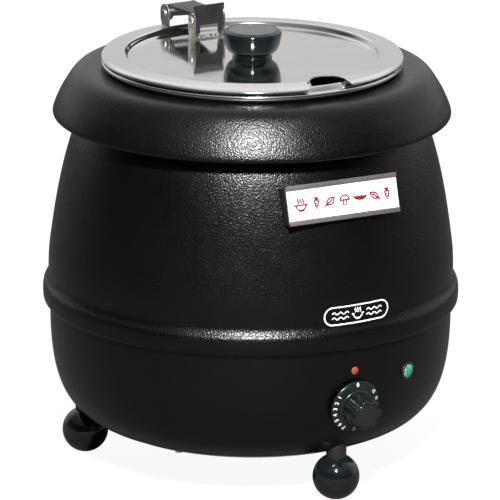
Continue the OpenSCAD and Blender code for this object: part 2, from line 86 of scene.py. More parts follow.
def sheet(p, t, round_ends=True):
    """Closed outline of a sheet of thickness t to one side of a line, with eased ends."""
    off = [(p[i][0] + t * vnorm(p, i)[0], p[i][1] + t * vnorm(p, i)[1]) for i in range(len(p))]
    if not round_ends:
        return list(p) + off[::-1]

    def cap(a, b, inner):
        # from a to b, an end face with both corners eased; inner = unit vector into the sheet
        w = math.hypot(b[0] - a[0], b[1] - a[1])
        r = w * 0.34
        u = ((b[0] - a[0]) / w, (b[1] - a[1]) / w)
        pts = []
        for k in range(5):
            th = math.pi / 2 * k / 4
            pts.append((a[0] + inner[0] * r * (1 - math.sin(th)) + u[0] * r * (1 - math.cos(th)),
                        a[1] + inner[1] * r * (1 - math.sin(th)) + u[1] * r * (1 - math.cos(th))))
        for k in range(5):
            th = math.pi / 2 * (4 - k) / 4
            pts.append((b[0] + inner[0] * r * (1 - math.sin(th)) - u[0] * r * (1 - math.cos(th)),
                        b[1] + inner[1] * r * (1 - math.sin(th)) - u[1] * r * (1 - math.cos(th))))
        return pts

    def unit(v):
        n = math.hypot(*v) or 1.0
        return (v[0] / n, v[1] / n)

    end_in = unit((p[-2][0] - p[-1][0], p[-2][1] - p[-1][1]))
    start_in = unit((p[1][0] - p[0][0], p[1][1] - p[0][1]))
    # drop the line points that lie within the eased corner
    lim = abs(t) * 0.4

    def far(q, a, b):
        return math.hypot(q[0] - a[0], q[1] - a[1]) > lim and math.hypot(q[0] - b[0], q[1] - b[1]) > lim

    body = [q for q in p[1:-1] if far(q, p[0], p[-1])]
    back = [q for q in off[1:-1] if far(q, off[0], off[-1])][::-1]
    return body + cap(p[-1], off[-1], end_in) + back + cap(off[0], p[0], start_in)


# ============================================================================
# helpers: meshes
# ============================================================================
def new_object(name, verts, faces, sharp=None, smooth_faces=True):
    me = bpy.data.meshes.new(name)
    me.from_pydata([tuple(v) for v in verts], [], [tuple(f) for f in faces])
    me.validate()
    ob = bpy.data.objects.new(name, me)
    scene.collection.objects.link(ob)
    if smooth_faces:
        me.polygons.foreach_set("use_smooth", [True] * len(me.polygons))
    if sharp is not None:
        me.set_sharp_from_angle(angle=math.radians(sharp))
    me.update()
    return ob


def fix_normals(ob, sharp=None):
    bm = bmesh.new()
    bm.from_mesh(ob.data)
    bmesh.ops.recalc_face_normals(bm, faces=bm.faces)
    bm.to_mesh(ob.data)
    bm.free()
    ob.data.polygons.foreach_set("use_smooth", [True] * len(ob.data.polygons))
    if sharp is not None:
        ob.data.set_sharp_from_angle(angle=math.radians(sharp))
    ob.data.update()
    return ob


def lathe(name, outline, segs=256, sharp=42.0, closed=True, xf=None):
    """Revolves a closed (or axis-to-axis) outline of (r, z) in mm round Z."""
    verts, rings = [], []
    for r, z in outline:
        if r < 1e-6:
            rings.append((len(verts), 1))
            verts.append(Vector((0, 0, z)) * MM)
        else:
            rings.append((len(verts), segs))
            for k in range(segs):
                a = 2 * math.pi * k / segs
                verts.append(Vector((r * math.sin(a), -r * math.cos(a), z)) * MM)
    faces = []
    n = len(rings)
    for i in range(n if closed else n - 1):
        (a, na), (b, nb) = rings[i], rings[(i + 1) % n]
        if na == 1 and nb == 1:
            continue
        for k in range(segs):
            k2 = (k + 1) % segs
            if na == 1:
                faces.append((a, b + k, b + k2))
            elif nb == 1:
                faces.append((a + k, a + k2, b))
            else:
                faces.append((a + k, a + k2, b + k2, b + k))
    if xf is not None:
        verts = [xf @ v for v in verts]
    ob = new_object(name, verts, faces)
    return fix_normals(ob, sharp)


def prism(name, outline, z0, z1, xf=None, sharp=35.0):
    """Extrudes a closed 2D outline in mm from z0 to z1."""
    n = len(outline)
    verts = [Vector((x, y, z)) * MM for z in (z0, z1) for x, y in outline]
    faces = [tuple(range(n)), tuple(range(n, 2 * n))]
    faces += [(i, (i + 1) % n, n + (i + 1) % n, n + i) for i in range(n)]
    if xf is not None:
        verts = [xf @ v for v in verts]
    ob = new_object(name, verts, faces)
    return fix_normals(ob, sharp)


def apply_mods(ob):
    dg = bpy.context.evaluated_depsgraph_get()
    me = bpy.data.meshes.new_from_object(ob.evaluated_get(dg), depsgraph=dg)
    old = ob.data
    ob.modifiers.clear()
    ob.data = me
    if old.users == 0:
        bpy.data.meshes.remove(old)
    return ob


def boolean(ob, cutter, op="DIFFERENCE"):
    m = ob.modifiers.new("cut", "BOOLEAN")
    m.operation = op
    m.solver = "EXACT"
    m.object = cutter
    apply_mods(ob)
    bpy.data.objects.remove(cutter)
    return ob


def bevel(ob, width, segs=2, angle=35.0, sharp=50.0):
    m = ob.modifiers.new("bevel", "BEVEL")
    m.width = width * MM
    m.segments = segs
    m.limit_method = "ANGLE"
    m.angle_limit = math.radians(angle)
    m.use_clamp_overlap = True
    m.harden_normals = False
    apply_mods(ob)
    ob.data.polygons.foreach_set("use_smooth", [True] * len(ob.data.polygons))
    ob.data.set_sharp_from_angle(angle=math.radians(sharp))
    ob.data.update()
    return ob


def refine(node, width=0.25, segs=2, angle=35.0, sharp=38.0, name=None):
    """A CAD node's own shape with its edges eased and its flats cleaned, as a new object; put() hides the node it
    stands in for.
    """
    src = NODES[node]
    me = src.data.copy()
    ob = bpy.data.objects.new(name or node + "_v", me)
    scene.collection.objects.link(ob)
    me.materials.clear()
    bm = bmesh.new()
    bm.from_mesh(me)
    bmesh.ops.remove_doubles(bm, verts=bm.verts, dist=2e-6)
    bmesh.ops.dissolve_degenerate(bm, dist=1e-6, edges=bm.edges)
    bmesh.ops.dissolve_limit(bm, angle_limit=math.radians(0.6), verts=bm.verts, edges=bm.edges)
    bmesh.ops.recalc_face_normals(bm, faces=bm.faces)
    bm.to_mesh(me)
    bm.free()
    for a in [a.name for a in me.attributes if a.name == "custom_normal"]:
        me.attributes.remove(me.attributes[a])
    if width:
        bevel(ob, width, segs, angle, sharp)
    else:
        me.polygons.foreach_set("use_smooth", [True] * len(me.polygons))
        me.set_sharp_from_angle(angle=math.radians(sharp))
    return ob


def put(ob, body, material, slot, *replaced):
    ob.data.materials.clear()
    ob.data.materials.append(material)
    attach(ob, body)
    if replaced:
        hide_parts(*replaced)
    return ob


# ============================================================================
# helpers: materials
# ============================================================================
class Mat:
    """Small builder for one node material."""

    def __init__(self, name):
        self.m = bpy.data.materials.new(name)
        self.m.use_nodes = True
        self.t = self.m.node_tree
        self.t.nodes.clear()
        self.out = self.t.nodes.new("ShaderNodeOutputMaterial")
        self.b = self.t.nodes.new("ShaderNodeBsdfPrincipled")
        self.t.links.new(self.b.outputs[0], self.out.inputs[0])
        self.co = self.t.nodes.new("ShaderNodeTexCoord").outputs["Object"]

    def link(self, a, b):
        self.t.links.new(a, b)

    def feed(self, sock, v):
        if isinstance(v, bpy.types.NodeSocket):
            self.link(v, sock)
        elif v is not None:
            sock.default_value = v

    def node(self, kind, props=None, **ins):
        n = self.t.nodes.new(kind)
        for k, v in (props or {}).items():
            setattr(n, k, v)
        for k, v in ins.items():
            key = int(k[1:]) if k[0] == "i" and k[1:].isdigit() else k.replace("_", " ")
            self.feed(n.inputs[key], v)
        return n

    def noise(self, scale, detail=2.0, rough=0.5, vec=None, dist=0.0):
        return self.node("ShaderNodeTexNoise", Vector=vec or self.co, Scale=scale, Detail=detail,
                         Roughness=rough, Distortion=dist).outputs["Fac"]

    def voronoi(self, scale, vec=None, feature="F1", rand=1.0, out="Distance", smoothness=None):
        n = self.node("ShaderNodeTexVoronoi", {"feature": feature}, Vector=vec or self.co, Scale=scale, Randomness=rand)
        if smoothness is not None and "Smoothness" in n.inputs:
            n.inputs["Smoothness"].default_value = smoothness
        return n.outputs[out]

    def math(self, op, a, b=None, c=None, clamp=False):
        n = self.t.nodes.new("ShaderNodeMath")
        n.operation = op
        n.use_clamp = clamp
        self.feed(n.inputs[0], a)
        if b is not None:
            self.feed(n.inputs[1], b)
        if c is not None:
            self.feed(n.inputs[2], c)
        return n.outputs[0]

    def maprange(self, v, a, b, c, d, kind="LINEAR"):
        n = self.t.nodes.new("ShaderNodeMapRange")
        n.interpolation_type = kind
        for i, x in enumerate((v, a, b, c, d)):
            self.feed(n.inputs[i], x)
        return n.outputs[0]

    def mix(self, fac, a, b):
        n = self.t.nodes.new("ShaderNodeMix")
        n.data_type = "RGBA"
        self.feed(n.inputs[0], fac)
        self.feed(n.inputs[6], a if not isinstance(a, tuple) else (*a, 1.0)[:4])
        self.feed(n.inputs[7], b if not isinstance(b, tuple) else (*b, 1.0)[:4])
        return n.outputs[2]

    def xyz(self, vec=None):
        n = self.t.nodes.new("ShaderNodeSeparateXYZ")
        self.link(vec or self.co, n.inputs[0])
        return n.outputs

    def combine(self, x, y, z):
        n = self.t.nodes.new("ShaderNodeCombineXYZ")
        for i, v in enumerate((x, y, z)):
            self.feed(n.inputs[i], v)
        return n.outputs[0]

    def scaled(self, sx, sy, sz, rot=(0, 0, 0)):
        n = self.t.nodes.new("ShaderNodeMapping")
        self.link(self.co, n.inputs[0])
        n.inputs["Scale"].default_value = (sx, sy, sz)
        n.inputs["Rotation"].default_value = rot
        return n.outputs[0]

    def polar(self, centre=(0.0, 0.0)):
        """(radius in m, angle in radians) round a vertical axis."""
        x, y, z = self.xyz()
        if centre != (0.0, 0.0):
            x = self.math("SUBTRACT", x, centre[0])
            y = self.math("SUBTRACT", y, centre[1])
        r = self.math("SQRT", self.math("ADD", self.math("MULTIPLY", x, x), self.math("MULTIPLY", y, y)))
        return r, self.math("ARCTAN2", y, x), z

    def bump(self, height, dist, strength=1.0, normal=None):
        n = self.node("ShaderNodeBump", Strength=strength, Distance=dist, Height=height)
        if normal is not None:
            self.link(normal, n.inputs["Normal"])
        return n.outputs[0]

    def set(self, **kw):
        for k, v in kw.items():
            key = k.replace("_", " ")
            if isinstance(v, tuple) and len(v) == 3 and key in ("Base Color", "Emission Color", "Specular Tint", "Coat Tint"):
                v = (*v, 1.0)
            self.feed(self.b.inputs[key], v)
        return self


def powder_coat():
    """Black textured powder coat: packed rounded grains about 1 mm across, a finer orange peel and a few dull spots."""
    m = Mat("body_paint")
    warp = m.node("ShaderNodeVectorMath", {"operation": "ADD"})
    m.link(m.co, warp.inputs[0])
    wn = m.node("ShaderNodeTexNoise", Vector=m.co, Scale=420.0, Detail=1.0)
    sc = m.node("ShaderNodeVectorMath", {"operation": "SCALE"})
    m.link(wn.outputs["Color"], sc.inputs[0])
    sc.inputs["Scale"].default_value = 0.0012
    m.link(sc.outputs[0], warp.inputs[1])
    v = warp.outputs[0]
    grain = m.voronoi(800.0, vec=v, feature="SMOOTH_F1", smoothness=0.7)
    fine = m.noise(1300.0, 2.0, 0.55)
    broad = m.noise(420.0, 2.0, 0.5)
    h = m.math("ADD", m.math("MULTIPLY", grain, -1.0), m.math("MULTIPLY", fine, 0.22))
    h = m.math("ADD", h, m.math("MULTIPLY", broad, 0.25))
    nrm_ = m.bump(h, 0.00021, 1.0)
    tint = m.noise(9.0, 3.0, 0.5)
    spot = m.noise(60.0, 3.0, 0.6)
    col = m.mix(m.maprange(tint, 0.35, 0.65, 0.0, 1.0), (0.0008, 0.0008, 0.0009), (0.0018, 0.0017, 0.0016))
    rough = m.maprange(m.math("ADD", m.math("MULTIPLY", spot, 0.6), m.math("MULTIPLY", fine, 0.4)), 0.3, 0.7, 0.25, 0.33)
    m.set(Base_Color=col, Roughness=rough, Normal=nrm_, IOR=1.5)
    m.b.inputs["Specular IOR Level"].default_value = 0.32
    return m.m


def plastic(name, color, rough, grain_scale=900.0, grain=0.00004, var=0.25, gloss_var=0.08, coat=0.0):
    """Moulded plastic: a faint grain, slight flow marks and a handled gloss."""
    m = Mat(name)
    n1 = m.noise(40.0, 3.0, 0.55)
    n2 = m.noise(grain_scale, 2.0, 0.6)
    c2 = tuple(min(1.0, x * (1 + var) + 0.0015) for x in color)
    m.set(Base_Color=m.mix(m.maprange(n1, 0.3, 0.7, 0.0, 1.0), color, c2),
          Roughness=m.maprange(m.math("ADD", m.math("MULTIPLY", n1, 0.7), m.math("MULTIPLY", n2, 0.3)), 0.3, 0.7,
                               max(0.03, rough - gloss_var), rough + gloss_var),
          Normal=m.bump(n2, grain, 0.6), IOR=1.5)
    if coat:
        m.b.inputs["Coat Weight"].default_value = coat
        m.b.inputs["Coat Roughness"].default_value = 0.04
    return m.m


def bakelite(name, color, rough=0.09):
    """Glossy phenolic: deep black with a faint cloudy swirl, polishing haze and hairline scratches."""
    m = Mat(name)
    swirl = m.noise(55.0, 4.0, 0.6, dist=1.6)
    haze = m.noise(18.0, 3.0, 0.55)
    hair = m.noise(1.0, 3.0, 0.7, vec=m.scaled(2200.0, 90.0, 300.0, (0.4, 0.3, 0.9)))
    hair = m.maprange(hair, 0.62, 0.7, 0.0, 1.0)
    r = m.maprange(haze, 0.3, 0.7, rough - 0.035, rough + 0.05)
    r = m.math("ADD", r, m.math("MULTIPLY", hair, 0.07))
    m.set(Base_Color=m.mix(m.maprange(swirl, 0.35, 0.65, 0.0, 1.0), color, tuple(c * 1.7 + 0.001 for c in color)),
          Roughness=r, Normal=m.bump(m.math("ADD", m.math("MULTIPLY", swirl, 0.4), m.math("MULTIPLY", hair, -0.15)), 0.00004, 0.35),
          IOR=1.56)
    return m.m


def polished_steel(name, color=(0.80, 0.79, 0.775), centre=None, base_rough=0.045):
    """Mirror-polished stainless: fine polishing lines, a little waviness, cloudy wipe marks."""
    m = Mat(name)
    r, a, z = m.polar()
    wave = m.noise(16.0, 2.0, 0.5)
    lines = m.noise(1.0, 4.0, 0.7, vec=m.combine(m.math("MULTIPLY", r, 5200.0), m.math("MULTIPLY", a, 5.0), m.math("MULTIPLY", z, 5200.0)))
    wipe = m.noise(1.0, 4.0, 0.6, vec=m.scaled(26.0, 60.0, 30.0, (0.0, 0.0, 0.7)))
    scratch = m.noise(1.0, 2.0, 0.7, vec=m.scaled(1900.0, 36.0, 400.0, (0.1, 0.2, 0.55)))
    scratch = m.maprange(scratch, 0.66, 0.72, 0.0, 1.0)
    rough = m.maprange(wipe, 0.35, 0.7, base_rough, base_rough + 0.07)
    rough = m.math("ADD", rough, m.math("MULTIPLY", scratch, 0.10))
    rough = m.math("ADD", rough, m.math("MULTIPLY", lines, 0.03))
    col = m.mix(m.maprange(wipe, 0.3, 0.75, 0.0, 1.0), color, tuple(c * 0.93 for c in color))
    h = m.math("ADD", m.math("MULTIPLY", wave, 6.0), m.math("MULTIPLY", lines, 0.05))
    m.set(Base_Color=col, Metallic=1.0, Roughness=rough, Normal=m.bump(h, 0.00005, 0.5))
    return m.m


def satin_steel(name, color, rough=0.3, circular=True, centre=(0.0, 0.0), lines=3200.0, bump_d=0.00003):
    """Brushed or turned metal with fine parallel or circular lines and slight staining."""
    m = Mat(name)
    if circular:
        r, a, z = m.polar(centre)
        v = m.combine(m.math("MULTIPLY", r, lines), m.math("MULTIPLY", a, 3.0), m.math("MULTIPLY", z, lines))
    else:
        v = m.scaled(lines, 30.0, lines)
    ln = m.noise(1.0, 3.0, 0.65, vec=v)
    cloud = m.noise(35.0, 4.0, 0.6)
    fine = m.noise(700.0, 3.0, 0.6)
    col = m.mix(m.maprange(m.math("ADD", m.math("MULTIPLY", cloud, 0.7), m.math("MULTIPLY", fine, 0.3)), 0.3, 0.7, 0.0, 1.0),
                color, tuple(c * 0.80 for c in color))
    m.set(Base_Color=col, Metallic=1.0, Roughness=m.maprange(ln, 0.3, 0.7, rough - 0.08, rough + 0.1),
          Normal=m.bump(ln, bump_d, 0.6))
    return m.m


def plated(name, color, rough=0.28, spots=(0.30, 0.27, 0.20)):
    """Nickel or zinc plated steel: soft clouding, tiny pits and darker stains in places."""
    m = Mat(name)
    cloud = m.noise(120.0, 4.0, 0.65)
    fine = m.noise(1400.0, 3.0, 0.6)
    stain = m.maprange(m.noise(210.0, 3.0, 0.6, dist=0.8), 0.60, 0.74, 0.0, 0.4)
    col = m.mix(m.maprange(cloud, 0.3, 0.7, 0.0, 1.0), color, tuple(c * 0.78 for c in color))
    col = m.mix(stain, col, spots)
    m.set(Base_Color=col, Metallic=1.0, Roughness=m.maprange(m.math("ADD", m.math("MULTIPLY", cloud, 0.5), m.math("MULTIPLY", fine, 0.5)), 0.3, 0.7, rough - 0.1, rough + 0.14),
          Normal=m.bump(m.math("ADD", fine, m.math("MULTIPLY", cloud, 1.4)), 0.00003, 0.6))
    return m.m


M = {}
M["body_paint"] = powder_coat()
M["lid_steel"] = polished_steel("lid_steel", (0.80, 0.79, 0.78))
M["ring_steel"] = polished_steel("ring_steel", (0.80, 0.785, 0.765), base_rough=0.07)
M["pot_steel"] = satin_steel("pot_steel", (0.66, 0.655, 0.64), 0.26)
M["bracket_nickel"] = plated("bracket_nickel", (0.74, 0.71, 0.64))
M["rivet_nickel"] = plated("rivet_nickel", (0.80, 0.77, 0.69), 0.2)
M["zinc_steel"] = plated("zinc_steel", (0.62, 0.62, 0.60), 0.34, (0.42, 0.38, 0.26))
M["cover_steel"] = satin_steel("cover_steel", (0.50, 0.50, 0.51), 0.38, circular=False, lines=1400.0)
M["pan_aluminium"] = satin_steel("pan_aluminium", (0.72, 0.73, 0.74), 0.33)
M["heater_sheath"] = plated("heater_sheath", (0.20, 0.185, 0.17), 0.5, (0.12, 0.07, 0.04))
M["thermostat_case"] = plated("thermostat_case", (0.66, 0.65, 0.6), 0.33)
M["copper"] = plated("copper", (0.78, 0.42, 0.27), 0.25, (0.30, 0.15, 0.10))
M["knob_plastic"] = bakelite("knob_plastic", (0.0018, 0.0034, 0.0037), 0.075)
M["ball_plastic"] = bakelite("ball_plastic", (0.0036, 0.0052, 0.0062), 0.075)
M["black_plastic"] = plastic("black_plastic", (0.010, 0.010, 0.0105), 0.42, grain=0.00007)
M["block_plastic"] = plastic("block_plastic", (0.72, 0.71, 0.66), 0.4, var=0.06)
M["silicone"] = plastic("silicone", (0.45, 0.10, 0.06), 0.6, grain=0.00006, var=0.2)
M["wire_brown"] = plastic("wire_brown", (0.13, 0.045, 0.018), 0.4)
M["wire_blue"] = plastic("wire_blue", (0.012, 0.06, 0.30), 0.4)
M["wire_green"] = plastic("wire_green", (0.06, 0.26, 0.04), 0.4)
M["dial_plastic"] = plastic("dial_plastic", (0.0060, 0.0086, 0.0086), 0.24, grain=0.00003, gloss_var=0.06)


def dial_cap_material():
    """Flat cap of the dial's grip: turned face with very fine rings and a soft sheen."""
    m = Mat("dial_cap_plastic")
    cl = m.noise(70.0, 3.0, 0.5)
    fine = m.noise(1700.0, 2.0, 0.6)
    m.set(Base_Color=m.mix(m.maprange(cl, 0.35, 0.65, 0, 1), (0.0095, 0.0120, 0.0112), (0.0135, 0.0165, 0.0155)),
          Roughness=m.maprange(cl, 0.3, 0.7, 0.30, 0.42), Normal=m.bump(fine, 0.00003, 0.5), IOR=1.5)
    return m.m


M["dial_cap_plastic"] = dial_cap_material()


def knob_cap_material():
    """Satin disc on the lid knob: fine circular turning lines; its light cool-grey colour is a painted sheen, the sky's
    reflection off the flat top put into the colour.
    """
    m = Mat("knob_cap_plastic")
    r, a, z = m.polar()
    rings = m.noise(1.0, 3.0, 0.6, vec=m.combine(m.math("MULTIPLY", r, 3600.0), m.math("MULTIPLY", a, 2.0), 0.0))
    cl = m.noise(60.0, 3.0, 0.5)
    # painted sheen: the light bluish-grey base colour stands in for the sky reflected off the disc's top
    m.set(Base_Color=m.mix(m.maprange(cl, 0.35, 0.65, 0, 1), (0.060, 0.062, 0.074), (0.080, 0.082, 0.096)),
          Roughness=m.maprange(rings, 0.3, 0.7, 0.30, 0.42), Normal=m.bump(rings, 0.000025, 0.5), IOR=1.5)
    return m.m


M["knob_cap_plastic"] = knob_cap_material()


def link_material():
    """Satin black enamel on sheet steel: faint cloudiness, a fine orange peel and light rub marks."""
    m = Mat("link_black")
    cl = m.noise(60.0, 3.0, 0.5)
    peel = m.noise(1500.0, 2.0, 0.5)
    rub = m.noise(1.0, 3.0, 0.7, vec=m.scaled(900.0, 120.0, 300.0, (0.1, 0.2, 0.2)))
    rub = m.maprange(rub, 0.6, 0.72, 0.0, 1.0)
    col = m.mix(m.maprange(cl, 0.3, 0.7, 0, 1), (0.0105, 0.0102, 0.011), (0.015, 0.0145, 0.015))
    m.set(Base_Color=m.mix(rub, col, (0.022, 0.021, 0.020)), Roughness=m.maprange(cl, 0.3, 0.7, 0.34, 0.42),
          Normal=m.bump(peel, 0.000015, 0.4), IOR=1.5)
    return m.m


M["link_black"] = link_material()


def rail_material():
    """Extruded taupe plastic rail with fine lines along its length."""
    m = Mat("rail_plastic")
    ln = m.noise(1.0, 3.0, 0.6, vec=m.scaled(20.0, 2400.0, 2400.0))
    cl = m.noise(50.0, 3.0, 0.5)
    m.set(Base_Color=m.mix(m.maprange(cl, 0.3, 0.7, 0, 1), (0.082, 0.066, 0.067), (0.102, 0.085, 0.085)),
          Roughness=m.maprange(ln, 0.3, 0.7, 0.36, 0.5), Normal=m.bump(ln, 0.00004, 0.5), IOR=1.5)
    return m.m


M["rail_plastic"] = rail_material()


def paper_material():
    """Coated white card: faint fibre mottling."""
    m = Mat("card_paper")
    f = m.noise(900.0, 4.0, 0.65)
    c = m.noise(120.0, 3.0, 0.5)
    m.set(Base_Color=m.mix(m.maprange(m.math("ADD", m.math("MULTIPLY", f, 0.6), m.math("MULTIPLY", c, 0.4)), 0.3, 0.7, 0, 1), (0.70, 0.70, 0.695), (0.66, 0.66, 0.655)),
          Roughness=m.maprange(c, 0.3, 0.7, 0.42, 0.55), Normal=m.bump(f, 0.00003, 0.35), IOR=1.45)
    return m.m


M["card_paper"] = paper_material()


def print_material(name, a, b, rough=0.5):
    """Printed or stamped ink: a little uneven, slightly worn."""
    m = Mat(name)
    f = m.noise(2600.0, 3.0, 0.65)
    c = m.noise(500.0, 3.0, 0.6)
    m.set(Base_Color=m.mix(m.maprange(m.math("ADD", m.math("MULTIPLY", f, 0.5), m.math("MULTIPLY", c, 0.5)), 0.35, 0.65, 0, 1), a, b),
          Roughness=m.maprange(c, 0.3, 0.7, rough - 0.08, rough + 0.1), Normal=m.bump(f, 0.00002, 0.4), IOR=1.45)
    return m.m


M["ink_white"] = print_material("ink_white", (0.90, 0.90, 0.89), (0.80, 0.80, 0.79), 0.4)
M["ink_red"] = print_material("ink_red", (0.26, 0.014, 0.02), (0.20, 0.010, 0.014), 0.5)


def lamp_material():
    """Green pilot lens, drawn opaque, with a pattern of small facets moulded inside; the green is the lens's own
    colour, the bright teal mottle over the facets is painted glints.
    """
    m = Mat("lamp_green")
    v = m.voronoi(760.0, feature="F1", out="Color")
    sep = m.xyz(v)
    n = m.noise(420.0, 3.0, 0.6)
    k = m.math("ADD", m.math("MULTIPLY", sep[0], 0.55), m.math("MULTIPLY", n, 0.6))
    # painted glints: the bright teal cells stand in for light caught in the lens facets; the dark green is the lens's
    # own colour
    col = m.mix(m.maprange(k, 0.3, 0.95, 0.0, 1.0), (0.012, 0.10, 0.065), (0.14, 0.52, 0.36))
    d = m.voronoi(760.0, feature="DISTANCE_TO_EDGE")
    m.set(Base_Color=col, Roughness=m.maprange(n, 0.3, 0.7, 0.10, 0.2), Normal=m.bump(d, 0.0002, 0.35), IOR=1.5,
          Transmission_Weight=0.0)
    m.b.inputs["Coat Weight"].default_value = 0.5
    m.b.inputs["Coat Roughness"].default_value = 0.06
    return m.m


M["lamp_green"] = lamp_material()


def red_material():
    """Coral red moulded stud, slightly chalky."""
    m = Mat("index_red")
    c = m.noise(700.0, 3.0, 0.6)
    m.set(Base_Color=m.mix(m.maprange(c, 0.3, 0.7, 0, 1), (0.26, 0.035, 0.03), (0.34, 0.06, 0.045)),
          Roughness=m.maprange(c, 0.3, 0.7, 0.42, 0.58), Normal=m.bump(c, 0.00006, 0.5), IOR=1.46)
    return m.m


M["index_red"] = red_material()

# ============================================================================
# body shells
# ============================================================================
LOWER = [(166.4, 150), (166.4, 137), (166.6, 124), (166.3, 112), (165.6, 101), (164.3, 90), (162.2, 79), (158.8, 68),
         (153.9, 58), (147.8, 50.2), (140.6, 44), (132.4, 39.8), (124, 38), (118, 37.6), (112, 37.6)]
UPPER = [(167.9, 136.4), (170.4, 136.7), (172.0, 138.2), (172.486, 141.5), (172.486, 147.5), (171.6, 152), (169.4, 155.6),
         (168, 160), (167.9, 168), (167.3, 180), (165.4, 195), (162.4, 215), (158.8, 235), (154.3, 255), (148.9, 274),
         (143, 290), (137.6, 306), (133.4, 320), (132, 326), (131.2, 328.6), (130, 329.2), (125.8, 329.2)]
COLLAR = [(161.2, 294.8), (163.2, 294.7), (163.9, 296.4), (163.2, 299.5), (161, 305), (158, 311.5), (154.2, 318),
          (150.2, 324.2), (146.6, 328.6), (142.4, 331.5), (137, 332.8), (131, 333), (122, 333), (119.9, 332.5),
          (119.4, 331), (119.4, 326.5)]

upper_line = smooth(UPPER, 5)
put(lathe("upper_body", sheet(upper_line, 1.2), 320), "kettle_body", M["body_paint"], "body_paint", "upper_shell")
put(lathe("lower_bowl", sheet(smooth(LOWER, 5), -1.2), 320), "kettle_body", M["body_paint"], "body_paint", "lower_shell")
put(lathe("top_collar", sheet(smooth(COLLAR, 5), 1.2), 320), "kettle_body", M["body_paint"], "body_paint", "collar")

# ============================================================================
# pot and ring
# ============================================================================
PRO, PZ, CZ = 118.0, 101.5, 333.0
pot_line = [(0, PZ), (60, PZ), (PRO - 16, PZ)]
for k in range(1, 9):
    th = math.pi / 2 * k / 8
    pot_line.append((PRO - 16 + 16 * math.sin(th), PZ + 16 - 16 * math.cos(th)))
pot_line += [(PRO, 200), (PRO, CZ - 2.5), (PRO + 0.3, CZ - 0.6), (PRO + 1.3, CZ + 0.3), (122.2, CZ + 0.3)]
pot_sheet = sheet(pot_line, 1.0, round_ends=False)
pot_out, pot_in = pot_line, pot_sheet[len(pot_line):]
# rolled bead at the rim
bead = [(120.5 + 1.9 * math.cos(t), CZ + 3.1 + 1.9 * math.sin(t)) for t in np.linspace(-1.05, math.pi + 0.55, 20)]
pot_profile = pot_out[:-1] + [(121.0, CZ + 0.9)] + bead + [(117.0, CZ + 1.5)] + pot_in[2:]
pot = lathe("insert_pot", pot_profile, 256, closed=False)
put(pot, "pot", M["pot_steel"], "pot_steel", "soup_pot")

ring_pts = smooth([(115.3, 331), (115.3, 342.2), (115.8, 343.2), (116.8, 343.6), (118, 342.9), (119.6, 340.3),
                   (120.6, 339.4), (122.4, 339.4), (123.6, 338.9), (124.1, 337.9), (124.1, 336.7)], 4)
ring = refine("lid_ring", 0.0, sharp=40)
put(ring, "ring", M["ring_steel"], "ring_steel", "lid_ring")

# ============================================================================
# lid: one pressed sheet with a sunk panel, raised rim and a ladle notch
# ============================================================================
LR, NR, FR, T = 124.3, 16.5, 5.0, 0.8
NY = -(LR - 3.4)
FY = (NY * NY - (NR + FR) ** 2 + (LR - FR) ** 2) / (2 * NY)
FX = math.sqrt((LR - FR) ** 2 - FY * FY)
LID = [(101.4, 340.8), (101.95, 340.86), (102.45, 341.12), (102.85, 341.6), (103.6, 343.2), (104.15, 344.4), (104.7, 345.1),
       (105.35, 345.47), (106.1, 345.6), (107.0, 345.57), (110, 345.3), (113, 345.02), (116.5, 344.7), (119.6, 344.4),
       (121.2, 344.22), (122.4, 343.9), (123.2, 343.45), (123.8, 342.8), (124.15, 342.15)]
_lr = np.array([0.0, 60.0] + [p[0] for p in LID])
_lz = np.array([340.8, 340.8] + [p[1] for p in LID])


def lid_base(r):
    return float(np.interp(r, _lr, _lz))


# contour of the notch, from the rim on the left, round the inner end, to the rim on the right
cont = []
rim_ang = math.atan2(FX, -FY)                      # where the rounded corner meets the rim, from -Y
for s in (-1, 1):
    a_rim = math.atan2(FY, s * FX)
    a_in = math.atan2(NY - FY, -s * FX)            # from the corner's centre towards the notch's centre
    a0, a1 = a_rim, a_in
    while a1 - a0 > math.pi:
        a1 -= 2 * math.pi
    while a1 - a0 < -math.pi:
        a1 += 2 * math.pi
    corner = [(s * FX + FR * math.cos(a0 + (a1 - a0) * k / 10), FY + FR * math.sin(a0 + (a1 - a0) * k / 10)) for k in range(11)]
    if s < 0:
        left = corner
    else:
        right = corner
b0 = math.atan2(left[-1][1] - NY, left[-1][0])
b1 = math.atan2(right[-1][1] - NY, right[-1][0])
if b0 < 0:
    b0 += 2 * math.pi
arc = [(NR * math.cos(b0 + (b1 - b0) * k / 64), NY + NR * math.sin(b0 + (b1 - b0) * k / 64)) for k in range(1, 64)]
cont = left + arc + right[::-1]
seg = np.array(cont)


def notch_dist(x, y):
    """Distance from the notch's edge and how far along the edge, 0 to 1."""
    p = np.array((x, y))
    a, b = seg[:-1], seg[1:]
    ab = b - a
    t = np.clip(((p - a) * ab).sum(1) / (ab ** 2).sum(1), 0, 1)
    q = a + ab * t[:, None]
    d = np.hypot(*(p - q).T)
    i = int(d.argmin())
    return float(d[i]), (i + float(t[i])) / (len(seg) - 1)


def lip(d, u):
    """Height that the sheet turns up by the notch."""
    w = min(1.0, max(0.0, min(u, 1 - u) / 0.15))
    w = w * w * (3 - 2 * w)
    if d > 1.9:
        return 0.0
    k = 1 - d / 1.9
    return w * 2.2 * k * k * (3 - 2 * k)


pts, cons = [], []


def chain(line, closed=False):
    base = len(pts)
    pts.extend((float(x), float(y)) for x, y in line)
    n = len(line)
    cons.extend((base + i, base + (i + 1) % n) for i in range(n if closed else n - 1))


SEG = 360
hx, hy = 17.6, 108.5
a_h = math.asin(hx / LR)
